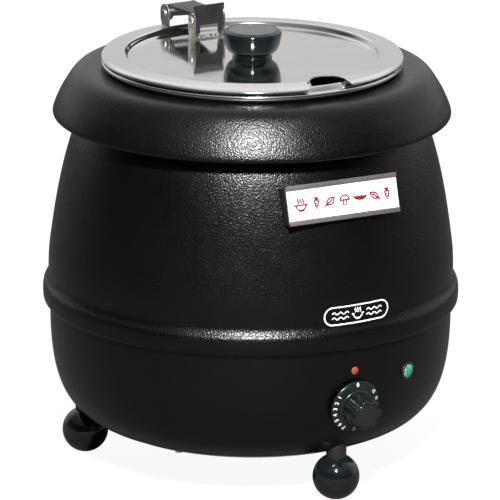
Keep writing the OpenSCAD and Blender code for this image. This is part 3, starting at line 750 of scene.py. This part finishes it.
# outer boundary: rim from the notch's right corner round to the hinge cut, the cut, and back to the notch's left
outer = []
for k in range(0, 131):
    a = rim_ang + (math.pi - a_h - rim_ang) * k / 130
    outer.append((LR * math.sin(a), -LR * math.cos(a)))
for k in range(1, 9):
    outer.append((hx, math.sqrt(LR ** 2 - hx ** 2) + (hy + 1.5 - math.sqrt(LR ** 2 - hx ** 2)) * k / 8))
for k in range(1, 5):
    th = math.pi / 2 * k / 4
    outer.append((hx - 1.5 + 1.5 * math.cos(th), hy + 1.5 - 1.5 * math.sin(th)))
for k in range(1, 16):
    outer.append((hx - 1.5 - 2 * (hx - 1.5) * k / 16, hy))
for k in range(4, -1, -1):
    th = math.pi / 2 * k / 4
    outer.append((-(hx - 1.5 + 1.5 * math.cos(th)), hy + 1.5 - 1.5 * math.sin(th)))
for k in range(7, -1, -1):
    outer.append((-hx, math.sqrt(LR ** 2 - hx ** 2) + (hy + 1.5 - math.sqrt(LR ** 2 - hx ** 2)) * k / 8))
for k in range(129, 0, -1):
    a = -(rim_ang + (math.pi - a_h - rim_ang) * k / 130)
    outer.append((LR * math.sin(a), -LR * math.cos(a)))
outline2d = outer + cont
chain(outline2d, closed=True)
n_border = len(outline2d)


def in_sheet(x, y, margin=0.25):
    r = math.hypot(x, y)
    if r > LR - margin:
        return False
    if y > hy - margin and abs(x) < hx + margin:
        return False
    if y < -95:
        d, u = notch_dist(x, y)
        if d < margin:
            return False
        inside = math.hypot(x, y - NY) < NR or (y < FY and abs(x) < FX and math.hypot(abs(x) - FX, y - FY) > FR)
        if inside:
            return False
    return True


def runs(line, closed):
    """Pieces of a line that lie on the sheet."""
    keep = [in_sheet(*p) for p in line]
    n = len(line)
    if all(keep):
        chain(line, closed)
        return
    start = next(i for i in range(n) if not keep[i]) if closed else 0
    cur = []
    for k in range(n):
        i = (start + k) % n if closed else k
        if keep[i]:
            cur.append(line[i])
        else:
            if len(cur) > 1:
                chain(cur)
            cur = []
    if len(cur) > 1:
        chain(cur)


for r in (20, 40, 60, 80, 92, 97) + tuple(p[0] for p in LID[:-1]):
    m = 96 if r < 60 else (180 if r < 95 else 360)
    runs([(r * math.sin(2 * math.pi * (k + 0.37) / m), -r * math.cos(2 * math.pi * (k + 0.37) / m)) for k in range(m)], True)
for d in (0.35, 0.75, 1.2, 1.75, 2.4, 3.0, 3.7):
    off = []
    for i in range(len(cont)):
        t = np.array(cont[min(i + 1, len(cont) - 1)]) - np.array(cont[max(i - 1, 0)])
        t /= np.hypot(*t)
        # the sheet is on the left going from the left rim over the inner end
        nx, ny = -t[1], t[0]
        off.append((cont[i][0] + nx * d, cont[i][1] + ny * d))
    ok = [p for p in off if in_sheet(p[0], p[1], 0.12) and abs(notch_dist(*p)[0] - d) < 0.03]
    # split where points were dropped
    cur = []
    for p in off:
        if in_sheet(p[0], p[1], 0.12) and abs(notch_dist(*p)[0] - d) < 0.03:
            cur.append(p)
        else:
            if len(cur) > 1:
                chain(cur)
            cur = []
    if len(cur) > 1:
        chain(cur)

co2, _e, tris, _ov, _oe, _of = delaunay_2d_cdt([Vector(p) for p in pts], cons, [list(range(n_border))], 1, 1e-4, True)[:6]


def in_notch(x, y):
    if math.hypot(x, y - NY) < NR - 0.005:
        return True
    return y < FY and abs(x) < FX and math.hypot(abs(x) - FX, y - FY) > FR + 0.005


def in_hinge_cut(x, y):
    if y < hy or abs(x) > hx:
        return False
    if abs(x) > hx - 1.5 and y < hy + 1.5:
        return math.hypot(abs(x) - (hx - 1.5), y - (hy + 1.5)) < 1.5
    return True


_mid = [(sum(co2[i].x for i in t) / len(t), sum(co2[i].y for i in t) / len(t)) for t in tris]
tris = [t for t, (x, y) in zip(tris, _mid) if not in_notch(x, y) and not in_hinge_cut(x, y)]


def lid_height(x, y):
    r = math.hypot(x, y)
    z = lid_base(r)
    if y < -95:
        d, u = notch_dist(x, y)
        if r < 106.1 and d < 3.0:
            k = 1 - d / 3.0
            z += (345.6 - z) * k * k * (3 - 2 * k)
        z += lip(d, u)
    return z


def lid_normal(x, y):
    e = 0.06
    r = math.hypot(x, y)
    if r > LR - 0.3:
        k = (LR - 0.3) / r
        x, y = x * k, y * k
    gx = (lid_height(x + e, y) - lid_height(x - e, y)) / (2 * e)
    gy = (lid_height(x, y + e) - lid_height(x, y - e)) / (2 * e)
    n = Vector((-gx, -gy, 1.0))
    n.normalize()
    return n


top, bot, tn = [], [], []
for v in co2:
    x, y = v.x, v.y
    n = lid_normal(x, y)
    z = lid_height(x, y)
    top.append(Vector((x, y, z)) * MM)
    bot.append(Vector((x - n.x * T * 0.9, y - n.y * T * 0.9, z - max(0.5, n.z) * T)) * MM)
    tn.append(n)
N = len(top)
verts = top + bot
faces = [tuple(t) for t in tris]
# orient upwards
up = []
for f in faces:
    a, b, c = (co2[i] for i in f[:3])
    s = (b.x - a.x) * (c.y - a.y) - (b.y - a.y) * (c.x - a.x)
    up.append(f if s > 0 else f[::-1])
border = {}
for f in up:
    for i in range(len(f)):
        e = (f[i], f[(i + 1) % len(f)])
        border[e] = border.get(e, 0) + 1
edges = [e for e in border if (e[1], e[0]) not in border]
# rim skirt: the rim's edge turns down to its cut edge
skirt, nskirt = {}, []
for e in edges:
    for i in e:
        if i not in skirt and math.hypot(co2[i].x, co2[i].y) > LR - 0.02:
            skirt[i] = len(verts)
            verts.append(Vector((co2[i].x, co2[i].y, 341.5)) * MM)
            k = (LR - T) / math.hypot(co2[i].x, co2[i].y)
            verts.append(Vector((co2[i].x * k, co2[i].y * k, 341.5)) * MM)
allf = list(up) + [tuple(N + i for i in f[::-1]) for f in up]
for a, b in edges:
    if a in skirt and b in skirt:
        allf.append((b, a, skirt[a], skirt[b]))
        allf.append((skirt[b], skirt[a], skirt[a] + 1, skirt[b] + 1))
        allf.append((skirt[b] + 1, skirt[a] + 1, N + a, N + b))
    else:
        allf.append((b, a, N + a, N + b))
        for i in (a, b):
            if i in skirt:
                allf.append((i, skirt[i], skirt[i] + 1, N + i) if i == a else (i, N + i, skirt[i] + 1, skirt[i]))
lid = new_object("lid_sheet", verts, allf)
fix_normals(lid, 48)
hole = lathe("hole_cut", [(0, 335), (2.6, 335), (2.6, 346), (0, 346)], 48, closed=False)
boolean(lid, hole)
lid.data.polygons.foreach_set("use_smooth", [True] * len(lid.data.polygons))
lid.data.set_sharp_from_angle(angle=math.radians(48))
put(lid, "lid_assembly", M["lid_steel"], "lid_steel", "lid")

# ============================================================================
# lid knob
# ============================================================================
KZ, KR, KH = 340.82, 24.0, 23.2
knob_pts = smooth([(15.4, 0.0), (16.0, 0.2), (16.35, 0.8), (16.4, 2.4), (17.1, 3.3), (18.6, 4.6), (20.3, 6.3), (21.5, 8.5),
                   (22.3, 10.6), (23.25, 14.5), (KR - 0.15, 18.3), (KR, 20), (KR - 0.2, 21.1), (KR - 0.85, 21.9), (22.25, 22.4),
                   (21.35, 22.68), (20.8, 22.82), (20.5, 22.97), (20.3, 23.14), (20.0, 23.2)], 5)
knob_profile = [(0, 0)] + knob_pts + [(19.85, 23.17), (19.8, 23.0), (19.8, 22.25), (0, 22.25)]
knob = lathe("knob_grip", [(r, z + KZ) for r, z in knob_profile], 192, closed=False, sharp=40)
put(knob, "lid_assembly", M["knob_plastic"], "knob_plastic", "lid_knob")
cap_pts = [(0, 22.3), (19.7, 22.3), (19.7, 22.9), (19.6, 23.07), (19.4, 23.15), (19.0, 23.19), (9, 23.19), (0, 23.19)]
kcap = lathe("knob_disc", [(r, z + KZ - 0.02) for r, z in cap_pts], 128, closed=False, sharp=40)
put(kcap, "lid_assembly", M["knob_cap_plastic"], "knob_cap_plastic", "knob_cap")

# ============================================================================
# hinge
# ============================================================================
put(refine("rear_bracket", 0.28, 2), "ring", M["bracket_nickel"], "bracket_nickel", "rear_bracket")
put(refine("front_bracket", 0.28, 2), "lid_assembly", M["bracket_nickel"], "bracket_nickel", "front_bracket")
for node, body in (("rear_rivets", "ring"), ("rear_pin", "ring"), ("front_rivets", "lid_assembly"), ("front_pin", "lid_assembly")):
    put(refine(node, 0.35, 3, angle=20), body, M["rivet_nickel"], "rivet_nickel", node)
put(refine("hinge_link", 0.22, 2), "link", M["link_black"], "link_black", "hinge_link")

# ============================================================================
# feet
# ============================================================================
BR, BZ, BT = 19.2, 18.9, 36.3
prof = []
a_lo = math.asin(max(-1, -BZ / BR))
a_hi = math.asin((BT - BZ) / BR)
flat_lo, flat_hi = BR * math.cos(a_lo), BR * math.cos(a_hi)
prof = [(0, 0)] + [(BR * math.cos(a_lo + (a_hi - a_lo) * k / 64), BZ + BR * math.sin(a_lo + (a_hi - a_lo) * k / 64)) for k in range(65)]
# a faint moulding seam round the ball's middle
prof = [(r + 0.035 * math.exp(-((z - BZ) / 0.35) ** 2) if z > 0.1 else r, z) for r, z in prof]
prof += [(4.1, BT), (4.1, 20), (0, 20)]
for i, (nm, ang) in enumerate((("foot_ball_front", 0), ("foot_ball_right", 120), ("foot_ball_left", 240))):
    xf = Matrix.Rotation(math.radians(ang), 4, "Z") @ Matrix.Translation((0, -0.1377, 0))
    put(lathe("ball_" + nm[10:], prof, 128, closed=False, xf=xf, sharp=40), "kettle_body", M["ball_plastic"], "ball_plastic", nm)

# ============================================================================
# dial
# ============================================================================
DIAL_AZ, SHAFT_Z = -0.5, 88.0
sx = NODES["thermostat_shaft"]
XD = (Matrix.Rotation(math.radians(DIAL_AZ), 4, "Z") @ Matrix.Translation((0, -0.1642, SHAFT_Z * MM))
      @ Matrix.Rotation(math.radians(98), 4, "X"))
DR = 22.0
skirt_pts = smooth([(DR - 0.7, 2.4), (DR - 0.15, 2.6), (DR, 3.0), (DR - 0.1, 3.7), (DR - 0.7, 4.35), (DR - 2.0, 4.85), (18.0, 5.15),
                    (15.4, 5.5), (14.6, 5.75), (14.1, 6.4)], 4)
skirt_profile = [(3.1, 2.4), (6, 2.4), (6, 3.4), (18.5, 3.4), (18.5, 2.4)] + skirt_pts + [(13.2, 6.6), (3.1, 6.6)]
skirt = lathe("dial_skirt", skirt_profile, 192, closed=True, xf=XD, sharp=40)
put(skirt, "dial", M["dial_plastic"], "dial_plastic", "dial_knob")

LOBES = 7


def grip_r(th, base):
    """Rounded lobes with scooped flutes between them."""
    ph = (th * LOBES / (2 * math.pi)) % 1.0      # 0 and 1 on a lobe, 0.5 in a flute
    a = (ph - 0.5) * 2 * math.pi / LOBES
    # distance along the ray at angle a from the flute's middle to the flute's circle
    D, R = 15.6, 4.2
    s = D * math.sin(abs(a))
    if s < R:
        f = D * math.cos(a) - math.sqrt(R * R - s * s)
    else:
        f = 1e9
    k = 0.9
    # soft minimum of the grip's radius and the flute
    h = max(k - abs(f - base), 0.0) / k
    return min(f, base) - h * h * k * 0.25


verts, faces = [], []
NA = 420
levels = [(6.0, 13.5), (8.0, 13.45), (12.0, 13.4), (17.0, 13.32), (21.6, 13.25), (22.4, 13.12), (22.95, 12.75), (23.2, 12.3), (23.3, 11.8)]
for z, base in levels:
    shrink = 13.25 - base if base < 13.2 else 0.0
    for k in range(NA):
        th = 2 * math.pi * k / NA
        r = grip_r(th, 13.5 if z < 21 else 13.25) - shrink - (z - 6) * 0.012
        verts.append(Vector((r * math.cos(th), r * math.sin(th), z)) * MM)
for i in range(len(levels) - 1):
    for k in range(NA):
        k2 = (k + 1) % NA
        faces.append((i * NA + k, i * NA + k2, (i + 1) * NA + k2, (i + 1) * NA + k))
# face inside the lobes, with the seat of the cap
prev = (len(levels) - 1) * NA
for z, r in ((23.3, 9.75), (23.25, 9.62), (22.6, 9.6)):
    base = len(verts)
    for k in range(NA):
        th = 2 * math.pi * k / NA
        verts.append(Vector((r * math.cos(th), r * math.sin(th), z)) * MM)
    for k in range(NA):
        k2 = (k + 1) % NA
        faces.append((prev + k, prev + k2, base + k2, base + k))
    prev = base
c = len(verts)
verts.append(Vector((0, 0, 22.6)) * MM)
faces += [(prev + k, prev + (k + 1) % NA, c) for k in range(NA)]
c = len(verts)
verts.append(Vector((0, 0, 6.0)) * MM)
faces += [((k + 1) % NA, k, c) for k in range(NA)]
grip = new_object("dial_grip", [XD @ v for v in verts], faces)
fix_normals(grip, 40)
put(grip, "dial", M["dial_plastic"], "dial_plastic")
cap_profile = [(0, 22.35), (9.5, 22.35), (9.5, 23.05), (9.42, 23.18), (9.25, 23.25), (0, 23.25)]
put(lathe("dial_disc", cap_profile, 96, closed=False, xf=XD, sharp=40), "dial", M["dial_cap_plastic"], "dial_cap_plastic", "dial_cap")


# ============================================================================
# printed marks
# ============================================================================
def text_mesh(s, size):
    cu = bpy.data.curves.new("t_" + s, "FONT")
    cu.body = s
    cu.size = size
    cu.align_x = "CENTER"
    cu.align_y = "CENTER"
    cu.resolution_u = 4
    cu.offset = size * 0.018
    ob = bpy.data.objects.new("t_" + s, cu)
    scene.collection.objects.link(ob)
    bpy.context.view_layer.update()
    dg = bpy.context.evaluated_depsgraph_get()
    me = bpy.data.meshes.new_from_object(ob.evaluated_get(dg), depsgraph=dg)
    vs = [v.co.copy() for v in me.vertices]
    fs = [tuple(p.vertices) for p in me.polygons]
    lo = [min(v[i] for v in vs) for i in (0, 1)]
    hi = [max(v[i] for v in vs) for i in (0, 1)]
    cx, cy = (lo[0] + hi[0]) / 2, (lo[1] + hi[1]) / 2
    vs = [Vector((v.x - cx, v.y - cy, 0)) for v in vs]
    bpy.data.objects.remove(ob)
    bpy.data.meshes.remove(me)
    return vs, fs


def raise_flat(parts, place, thick, cell=None):
    """Flat 2D faces put on a surface by place(x, y, h), as closed shallow solids."""
    V, F = [], []
    for vs, fs in parts:
        bm = bmesh.new()
        bv = [bm.verts.new((v[0], v[1], 0)) for v in vs]
        for f in fs:
            try:
                bm.faces.new([bv[i] for i in f])
            except ValueError:
                pass
        bmesh.ops.remove_doubles(bm, verts=bm.verts, dist=1e-5)
        if cell:
            bmesh.ops.triangulate(bm, faces=bm.faces)
            for _ in range(4):
                long_edges = [e for e in bm.edges if e.calc_length() > cell]
                if not long_edges:
                    break
                bmesh.ops.subdivide_edges(bm, edges=long_edges, cuts=1)
                bmesh.ops.triangulate(bm, faces=bm.faces)
        bmesh.ops.recalc_face_normals(bm, faces=bm.faces)
        bm.verts.index_update()
        n = len(bm.verts)
        base = len(V)
        co = [v.co.copy() for v in bm.verts]
        V += [place(c.x, c.y, thick) for c in co]
        V += [place(c.x, c.y, -thick) for c in co]
        for f in bm.faces:
            ids = [v.index for v in f.verts]
            F.append(tuple(base + i for i in ids))
            F.append(tuple(base + n + i for i in reversed(ids)))
        for e in bm.edges:
            if len(e.link_faces) == 1:
                a, b = (v.index for v in e.verts)
                F.append((base + a, base + b, base + n + b, base + n + a))
        bm.free()
    return V, F


# numbers on the dial's skirt, counted anticlockwise, so that turning the dial clockwise brings them to the stud
marks = {"0": 0, "1": -56, "2": -71.5, "3": -86.5, "4": -102.5, "5": -118.5, "6": -134, "7": -149, "8": -180, "9": -215,
         "10": -250, "11": -285, "12": -306}
parts = []
for s, deg in marks.items():
    vs, fs = text_mesh(s, 4.6 if len(s) == 1 else 3.9)
    w = 1.0 if len(s) == 1 else 0.8
    a = math.radians(-deg)
    ca, sa = math.cos(a), math.sin(a)
    out = []
    for v in vs:
        x, y = v.x * w * 1.05, v.y * 0.98 + 19.55
        out.append((x * ca - y * sa, x * sa + y * ca))
    parts.append((out, fs))


def on_skirt(x, y, h):
    r = math.hypot(x, y)
    z = float(np.interp(r, [15.4, 18.0, 20.0, 21.3, 21.9, 22.0], [5.5, 5.15, 4.85, 4.35, 3.7, 3.0]))
    return XD @ (Vector((x, y, z + h)) * MM)


V, F = raise_flat(parts, on_skirt, 0.13, 0.7)
ob = new_object("dial_numbers", V, F, smooth_faces=False)
fix_normals(ob, 30)
put(ob, "dial", M["ink_white"], None)


# ribbons: strokes of a given width along a line
def ribbon(line, w, closed=False, caps=True):
    p = [np.array(q, float) for q in line]
    n = len(p)
    L, R = [], []
    for i in range(n):
        if closed:
            a, b = p[(i - 1) % n], p[(i + 1) % n]
        else:
            a, b = p[max(0, i - 1)], p[min(n - 1, i + 1)]
        t = b - a
        t /= max(1e-9, np.hypot(*t))
        nn = np.array((-t[1], t[0]))
        L.append(p[i] + nn * w / 2)
        R.append(p[i] - nn * w / 2)
    vs = [tuple(v) for v in L + R]
    fs = [(i, i + 1, n + i + 1, n + i) for i in range(n - 1)]
    if closed:
        fs.append((n - 1, 0, n, 2 * n - 1))
    elif caps:
        for idx, s in ((0, -1), (n - 1, 1)):
            t = (p[1] - p[0]) if idx == 0 else (p[-1] - p[-2])
            t = t / np.hypot(*t) * s
            base = len(vs)
            ang = math.atan2(t[1], t[0])
            fan = [(p[idx][0] + w / 2 * math.cos(ang + th), p[idx][1] + w / 2 * math.sin(ang + th)) for th in np.linspace(-math.pi / 2, math.pi / 2, 7)]
            vs += fan
            fs.append(tuple(range(base, base + 7)))
    return vs, fs


def arc_pts(cx, cy, r, a0, a1, n=16, ry=None):
    ry = r if ry is None else ry
    return [(cx + r * math.cos(math.radians(a0 + (a1 - a0) * k / (n - 1))), cy + ry * math.sin(math.radians(a0 + (a1 - a0) * k / (n - 1)))) for k in range(n)]


def steam(cx, cy, h, amp):
    return [(cx + amp * math.sin(2 * math.pi * k / 14), cy + h * k / 14) for k in range(15)]


def bowl_icon(cx, cy, s, w):
    """A soup bowl with three wisps of steam."""
    out = [ribbon([(cx - s, cy), (cx + s, cy)], w)]
    out.append(ribbon(arc_pts(cx, cy, 0.82 * s, 180, 360, 25, 0.72 * s), w))
    out.append(ribbon([(cx - 0.36 * s, cy - 0.80 * s), (cx + 0.36 * s, cy - 0.80 * s)], w))
    for k in (-1, 0, 1):
        out.append(ribbon(steam(cx + 0.42 * s * k, cy + 0.26 * s, 0.62 * s, 0.09 * s), w))
    return out


# pictogram on the upper body: a capsule outline with a steaming bowl between wavy lines
uz = np.array([p[1] for p in upper_line if 155 < p[1] < 300])
ur = np.array([p[0] for p in upper_line if 155 < p[1] < 300])


def on_upper(az0, z0):
    def place(x, y, h):
        z = z0 + y
        r = float(np.interp(z, uz, ur)) + h
        a = math.radians(az0) + x / 167.6
        return Vector((r * math.sin(a), -r * math.cos(a), z)) * MM
    return place


W2, H2 = 29.9, 7.2
cap_line = []
for sgn, cx in ((1, W2 - H2), (-1, -(W2 - H2))):
    a0 = -90 if sgn > 0 else 90
    cap_line += [(cx + H2 * math.cos(math.radians(a0 + 180 * k / 20)), H2 * math.sin(math.radians(a0 + 180 * k / 20))) for k in range(21)]
cap2 = []
for i in range(len(cap_line)):
    a, b = cap_line[i], cap_line[(i + 1) % len(cap_line)]
    m = max(1, int(math.hypot(b[0] - a[0], b[1] - a[1]) / 2.0))
    cap2 += [(a[0] + (b[0] - a[0]) * k / m, a[1] + (b[1] - a[1]) * k / m) for k in range(m)]
parts = [ribbon(cap2, 1.15, closed=True)]
parts += bowl_icon(0, 0.1, 5.2, 1.0)
for s in (-1, 1):
    for dy in (-2.1, 2.1):
        parts.append(ribbon([(s * (8.6 + 14.4 * k / 40), dy + 0.85 * math.sin(2 * math.pi * k / 40 * 2.5)) for k in range(41)], 1.0))
V, F = raise_flat(parts, on_upper(-0.05, 165.9), 0.05)
ob = new_object("body_pictogram", V, F, smooth_faces=False)
fix_normals(ob, 30)
put(ob, "kettle_body", M["ink_white"], None)

# ============================================================================
# label
# ============================================================================
CW, CH, RAIL = 99.5, 24.3, 3.8
XL = (Matrix.Rotation(math.radians(-3.2), 4, "Z") @ Matrix.Translation((0, -0.1574, 0.2594))
      @ Matrix.Rotation(math.radians(74), 4, "X"))
put(refine("label_holder", 0.3, 2), "kettle_body", M["rail_plastic"], "rail_plastic", "label_holder")
put(refine("label_card", 0.06, 1), "label_card", M["card_paper"], "card_paper", "label_card")
put(refine("label_pad", 0.4, 2), "kettle_body", M["black_plastic"], "black_plastic", "label_pad")


def leaf(cx, cy, s, w, rot):
    c_, s_ = math.cos(math.radians(rot)), math.sin(math.radians(rot))
    def T(p):
        return (cx + p[0] * c_ - p[1] * s_, cy + p[0] * s_ + p[1] * c_)
    out = []
    for sg in (-1, 1):
        out.append(ribbon([T((-s + 2 * s * k / 20, sg * 0.52 * s * math.sin(math.pi * k / 20))) for k in range(21)], w))
    out.append(ribbon([T((-1.35 * s, 0)), T((0.45 * s, 0))], w))
    return out


def carrot(cx, cy, s, w):
    out = []
    body = [(cx - 0.42 * s, cy + 0.35 * s)] + arc_pts(cx, cy + 0.35 * s, 0.42 * s, 180, 0, 12, 0.22 * s)[1:-1] + [(cx + 0.42 * s, cy + 0.35 * s)]
    out.append(ribbon(body, w))
    out.append(ribbon([(cx - 0.42 * s, cy + 0.35 * s), (cx - 0.2 * s, cy - 0.4 * s), (cx, cy - s), (cx + 0.2 * s, cy - 0.4 * s), (cx + 0.42 * s, cy + 0.35 * s)], w))
    for k in (-1, 0, 1):
        out.append(ribbon([(cx + 0.05 * s * k, cy + 0.6 * s), (cx + 0.34 * s * k, cy + 1.05 * s)], w))
    out.append(ribbon([(cx - 0.32 * s, cy), (cx - 0.02 * s, cy)], w * 0.8))
    out.append(ribbon([(cx + 0.02 * s, cy - 0.35 * s), (cx + 0.18 * s, cy - 0.35 * s)], w * 0.8))
    return out


def pea_pod(cx, cy, s, w):
    out = [ribbon(arc_pts(cx, cy + 0.25 * s, 1.1 * s, 200, 340, 25, 0.75 * s), w), ribbon(arc_pts(cx, cy + 0.05 * s, 1.04 * s, 192, 348, 25, 0.28 * s), w)]
    for k in (-1, 0, 1):
        out.append(ribbon(arc_pts(cx + 0.42 * s * k, cy - 0.18 * s + 0.06 * s * abs(k), 0.17 * s, 0, 345, 16), w * 0.8, closed=True))
    return out


def mushroom(cx, cy, s, w):
    out = [ribbon(arc_pts(cx, cy, 0.8 * s, 0, 180, 25, 0.75 * s), w), ribbon([(cx - 0.8 * s, cy), (cx + 0.8 * s, cy)], w)]
    out.append(ribbon([(cx - 0.26 * s, cy), (cx - 0.3 * s, cy - 0.8 * s), (cx + 0.3 * s, cy - 0.8 * s), (cx + 0.26 * s, cy)], w))
    return out


def on_card(x, y, h):
    return XL @ (Vector((x, y, -0.1 + h)) * MM)


RW = 1.3
parts = []
parts += bowl_icon(-38.0, -0.2, 5.6, RW)
parts += carrot(-24.0, -0.4, 4.6, RW)
parts += leaf(-11.5, -0.2, 4.6, RW, 35)
parts += mushroom(1.5, -0.6, 5.0, RW)
parts += pea_pod(15.5, 0.9, 5.4, RW)
parts += leaf(28.5, -0.2, 4.4, RW, 145)
parts += carrot(40.0, -0.4, 4.6, RW)
V, F = raise_flat(parts, on_card, 0.03)
ob = new_object("card_pictograms", V, F, smooth_faces=False)
fix_normals(ob, 30)
put(ob, "label_card", M["ink_red"], None)

# ============================================================================
# lamp, stud, gland and the rest of the CAD nodes
# ============================================================================
LZ = 105.4
XLAMP = (Matrix.Rotation(math.radians(19.6), 4, "Z") @ Matrix.Translation((0, -0.1659, LZ * MM)) @ Matrix.Rotation(math.radians(93), 4, "X"))
lens_pts = [(0, -0.1), (4.6, -0.1), (4.6, -0.6), (5.7, -0.6), (5.7, 0.75), (5.62, 0.95)]
lens_pts += [(11 * math.sin(math.radians(a)), -8.3 + 11 * math.cos(math.radians(a))) for a in np.linspace(30.6, 0, 14)]
lens_pts = [(max(0.0, r) if r > 1e-4 else 0.0, z) for r, z in lens_pts]
put(lathe("lamp_cover", lens_pts, 96, closed=False, xf=XLAMP, sharp=40), "kettle_body", M["lamp_green"], "lamp_green", "lamp_lens")
bezel = [(5.76, 0.9), (5.76, -0.4), (7.5, -0.4), (7.5, 0.35), (7.35, 0.75), (6.9, 1.0), (6.2, 1.05)]
put(lathe("lamp_bezel", bezel, 96, xf=XLAMP, sharp=35), "kettle_body", M["black_plastic"], "black_plastic")
put(refine("index_stud", 0.25, 2, angle=20), "kettle_body", M["index_red"], "index_red", "index_stud")
put(refine("gland_body", 0.35, 2), "kettle_body", M["black_plastic"], "black_plastic", "gland_body")

slots = {r["node"]: r["material_slot"] for r in frame["record"]["subparts"]}
for name, ob in NODES.items():
    if ob.hide_render:
        continue
    ob.data.materials.clear()
    ob.data.materials.append(M[slots[name]])

# ============================================================================
# stage, light and camera
# ============================================================================
AZ = math.radians(30.9)
view_dir = Vector((math.sin(AZ), math.cos(AZ), 0))           # from the camera towards the kettle, level
right = Vector((math.cos(AZ), -math.sin(AZ), 0))

world = bpy.data.worlds.new("studio")
scene.world = world
world.use_nodes = True
wt = world.node_tree
wt.nodes.clear()
wo = wt.nodes.new("ShaderNodeOutputWorld")
bg = wt.nodes.new("ShaderNodeBackground")
wt.links.new(bg.outputs[0], wo.inputs[0])
tc = wt.nodes.new("ShaderNodeTexCoord")


def wmath(op, a, b=None):
    n = wt.nodes.new("ShaderNodeMath")
    n.operation = op
    for i, v in enumerate((a, b)):
        if v is None:
            continue
        if isinstance(v, bpy.types.NodeSocket):
            wt.links.new(v, n.inputs[i])
        else:
            n.inputs[i].default_value = v
    return n.outputs[0]


def wrange(v, a, b, c, d):
    n = wt.nodes.new("ShaderNodeMapRange")
    n.interpolation_type = "SMOOTHSTEP"
    wt.links.new(v, n.inputs[0])
    for i, x in enumerate((a, b, c, d)):
        n.inputs[i + 1].default_value = x
    return n.outputs[0]


def wdot(vec):
    n = wt.nodes.new("ShaderNodeVectorMath")
    n.operation = "DOT_PRODUCT"
    wt.links.new(tc.outputs["Generated"], n.inputs[0])
    n.inputs[1].default_value = vec
    return n.outputs["Value"]


back = wdot(tuple(view_dir))
sep = wt.nodes.new("ShaderNodeSeparateXYZ")
wt.links.new(tc.outputs["Generated"], sep.inputs[0])
up = sep.outputs[2]
side = wmath("MULTIPLY", wdot(tuple(right)), 0.22)
level = wrange(wmath("ADD", back, side), -0.05, 0.60, 0.03, 0.66)
behind = wrange(back, 0.05, 0.6, 0.0, 1.0)
ahead = wmath("SUBTRACT", 1.0, behind)
rise_b = wmath("MULTIPLY", wrange(up, 0.30, 0.48, 0.0, 0.30), behind)
rise_f = wmath("MULTIPLY", wmath("ADD", wrange(up, 0.34, 0.70, 0.0, 0.24), wrange(up, 0.80, 0.95, 0.0, 0.50)), ahead)
amb = wmath("ADD", level, wmath("ADD", rise_b, rise_f))
lp = wt.nodes.new("ShaderNodeLightPath")
seen = wt.nodes.new("ShaderNodeMix")
seen.data_type = "FLOAT"
wt.links.new(lp.outputs["Is Camera Ray"], seen.inputs[0])
wt.links.new(amb, seen.inputs[2])
seen.inputs[3].default_value = 1.0
wt.links.new(seen.outputs[0], bg.inputs["Strength"])
bg.inputs["Color"].default_value = (1, 1, 1, 1)

# pale floor
fl = bpy.data.meshes.new("floor")
n = 96
fl.from_pydata([(0, 0, 0)] + [(14 * math.cos(2 * math.pi * k / n), 14 * math.sin(2 * math.pi * k / n), 0) for k in range(n)], [],
               [(0, 1 + k, 1 + (k + 1) % n) for k in range(n)])
floor = bpy.data.objects.new("floor", fl)
floor.location = (0, 0, -0.0002)
scene.collection.objects.link(floor)
fm = Mat("floor_pale")
fn = fm.noise(3.0, 3.0, 0.5)
fm.set(Base_Color=fm.mix(fm.maprange(fn, 0.3, 0.7, 0, 1), (0.085, 0.085, 0.085), (0.10, 0.10, 0.10)), Roughness=0.85)
fm.b.inputs["Emission Color"].default_value = (0.93, 0.93, 0.93, 1)
flp = fm.t.nodes.new("ShaderNodeLightPath")
fm.t.links.new(flp.outputs["Is Camera Ray"], fm.b.inputs["Emission Strength"])
fl.materials.append(fm.m)


def area(name, loc, target, size, power, color=(1, 1, 1), size_y=None, spread=None):
    li = bpy.data.lights.new(name, "AREA")
    li.energy = power
    li.color = color
    li.shape = "RECTANGLE" if size_y else "DISK"
    li.size = size
    if size_y:
        li.size_y = size_y
    if spread:
        li.spread = spread
    ob = bpy.data.objects.new(name, li)
    scene.collection.objects.link(ob)
    ob.location = loc
    ob.rotation_euler = (Vector(target) - Vector(loc)).to_track_quat("-Z", "Y").to_euler()
    return ob


def polar_pos(az_off, elev, dist, target=(0, 0, 0.2)):
    """A point seen from the kettle at az_off degrees right of the camera."""
    a = math.radians(az_off)
    d = (-view_dir) * math.cos(a) + right * math.sin(a)
    e = math.radians(elev)
    return Vector(target) + (d * math.cos(e) + Vector((0, 0, 1)) * math.sin(e)) * dist


area("key", polar_pos(1, 38, 2.6), (0, 0, 0.22), 0.26, 160)

cam = bpy.data.cameras.new("camera")
cam.sensor_width = 36
cam.lens = 347.98
cam.clip_start, cam.clip_end = 0.1, 100
co = bpy.data.objects.new("camera", cam)
scene.collection.objects.link(co)
pos = -view_dir * 3.845 + Vector((0, 0, 1.315)) - right * 0.00077
co.matrix_world = (Matrix.Translation(pos) @ Matrix.Rotation(-AZ, 4, "Z") @ Matrix.Rotation(math.radians(90 - 16.51), 4, "X")
                   @ Matrix.Rotation(math.radians(0.42), 4, "Z"))
scene.camera = co
scene.view_settings.view_transform = "Standard"
scene.view_settings.look = "None"
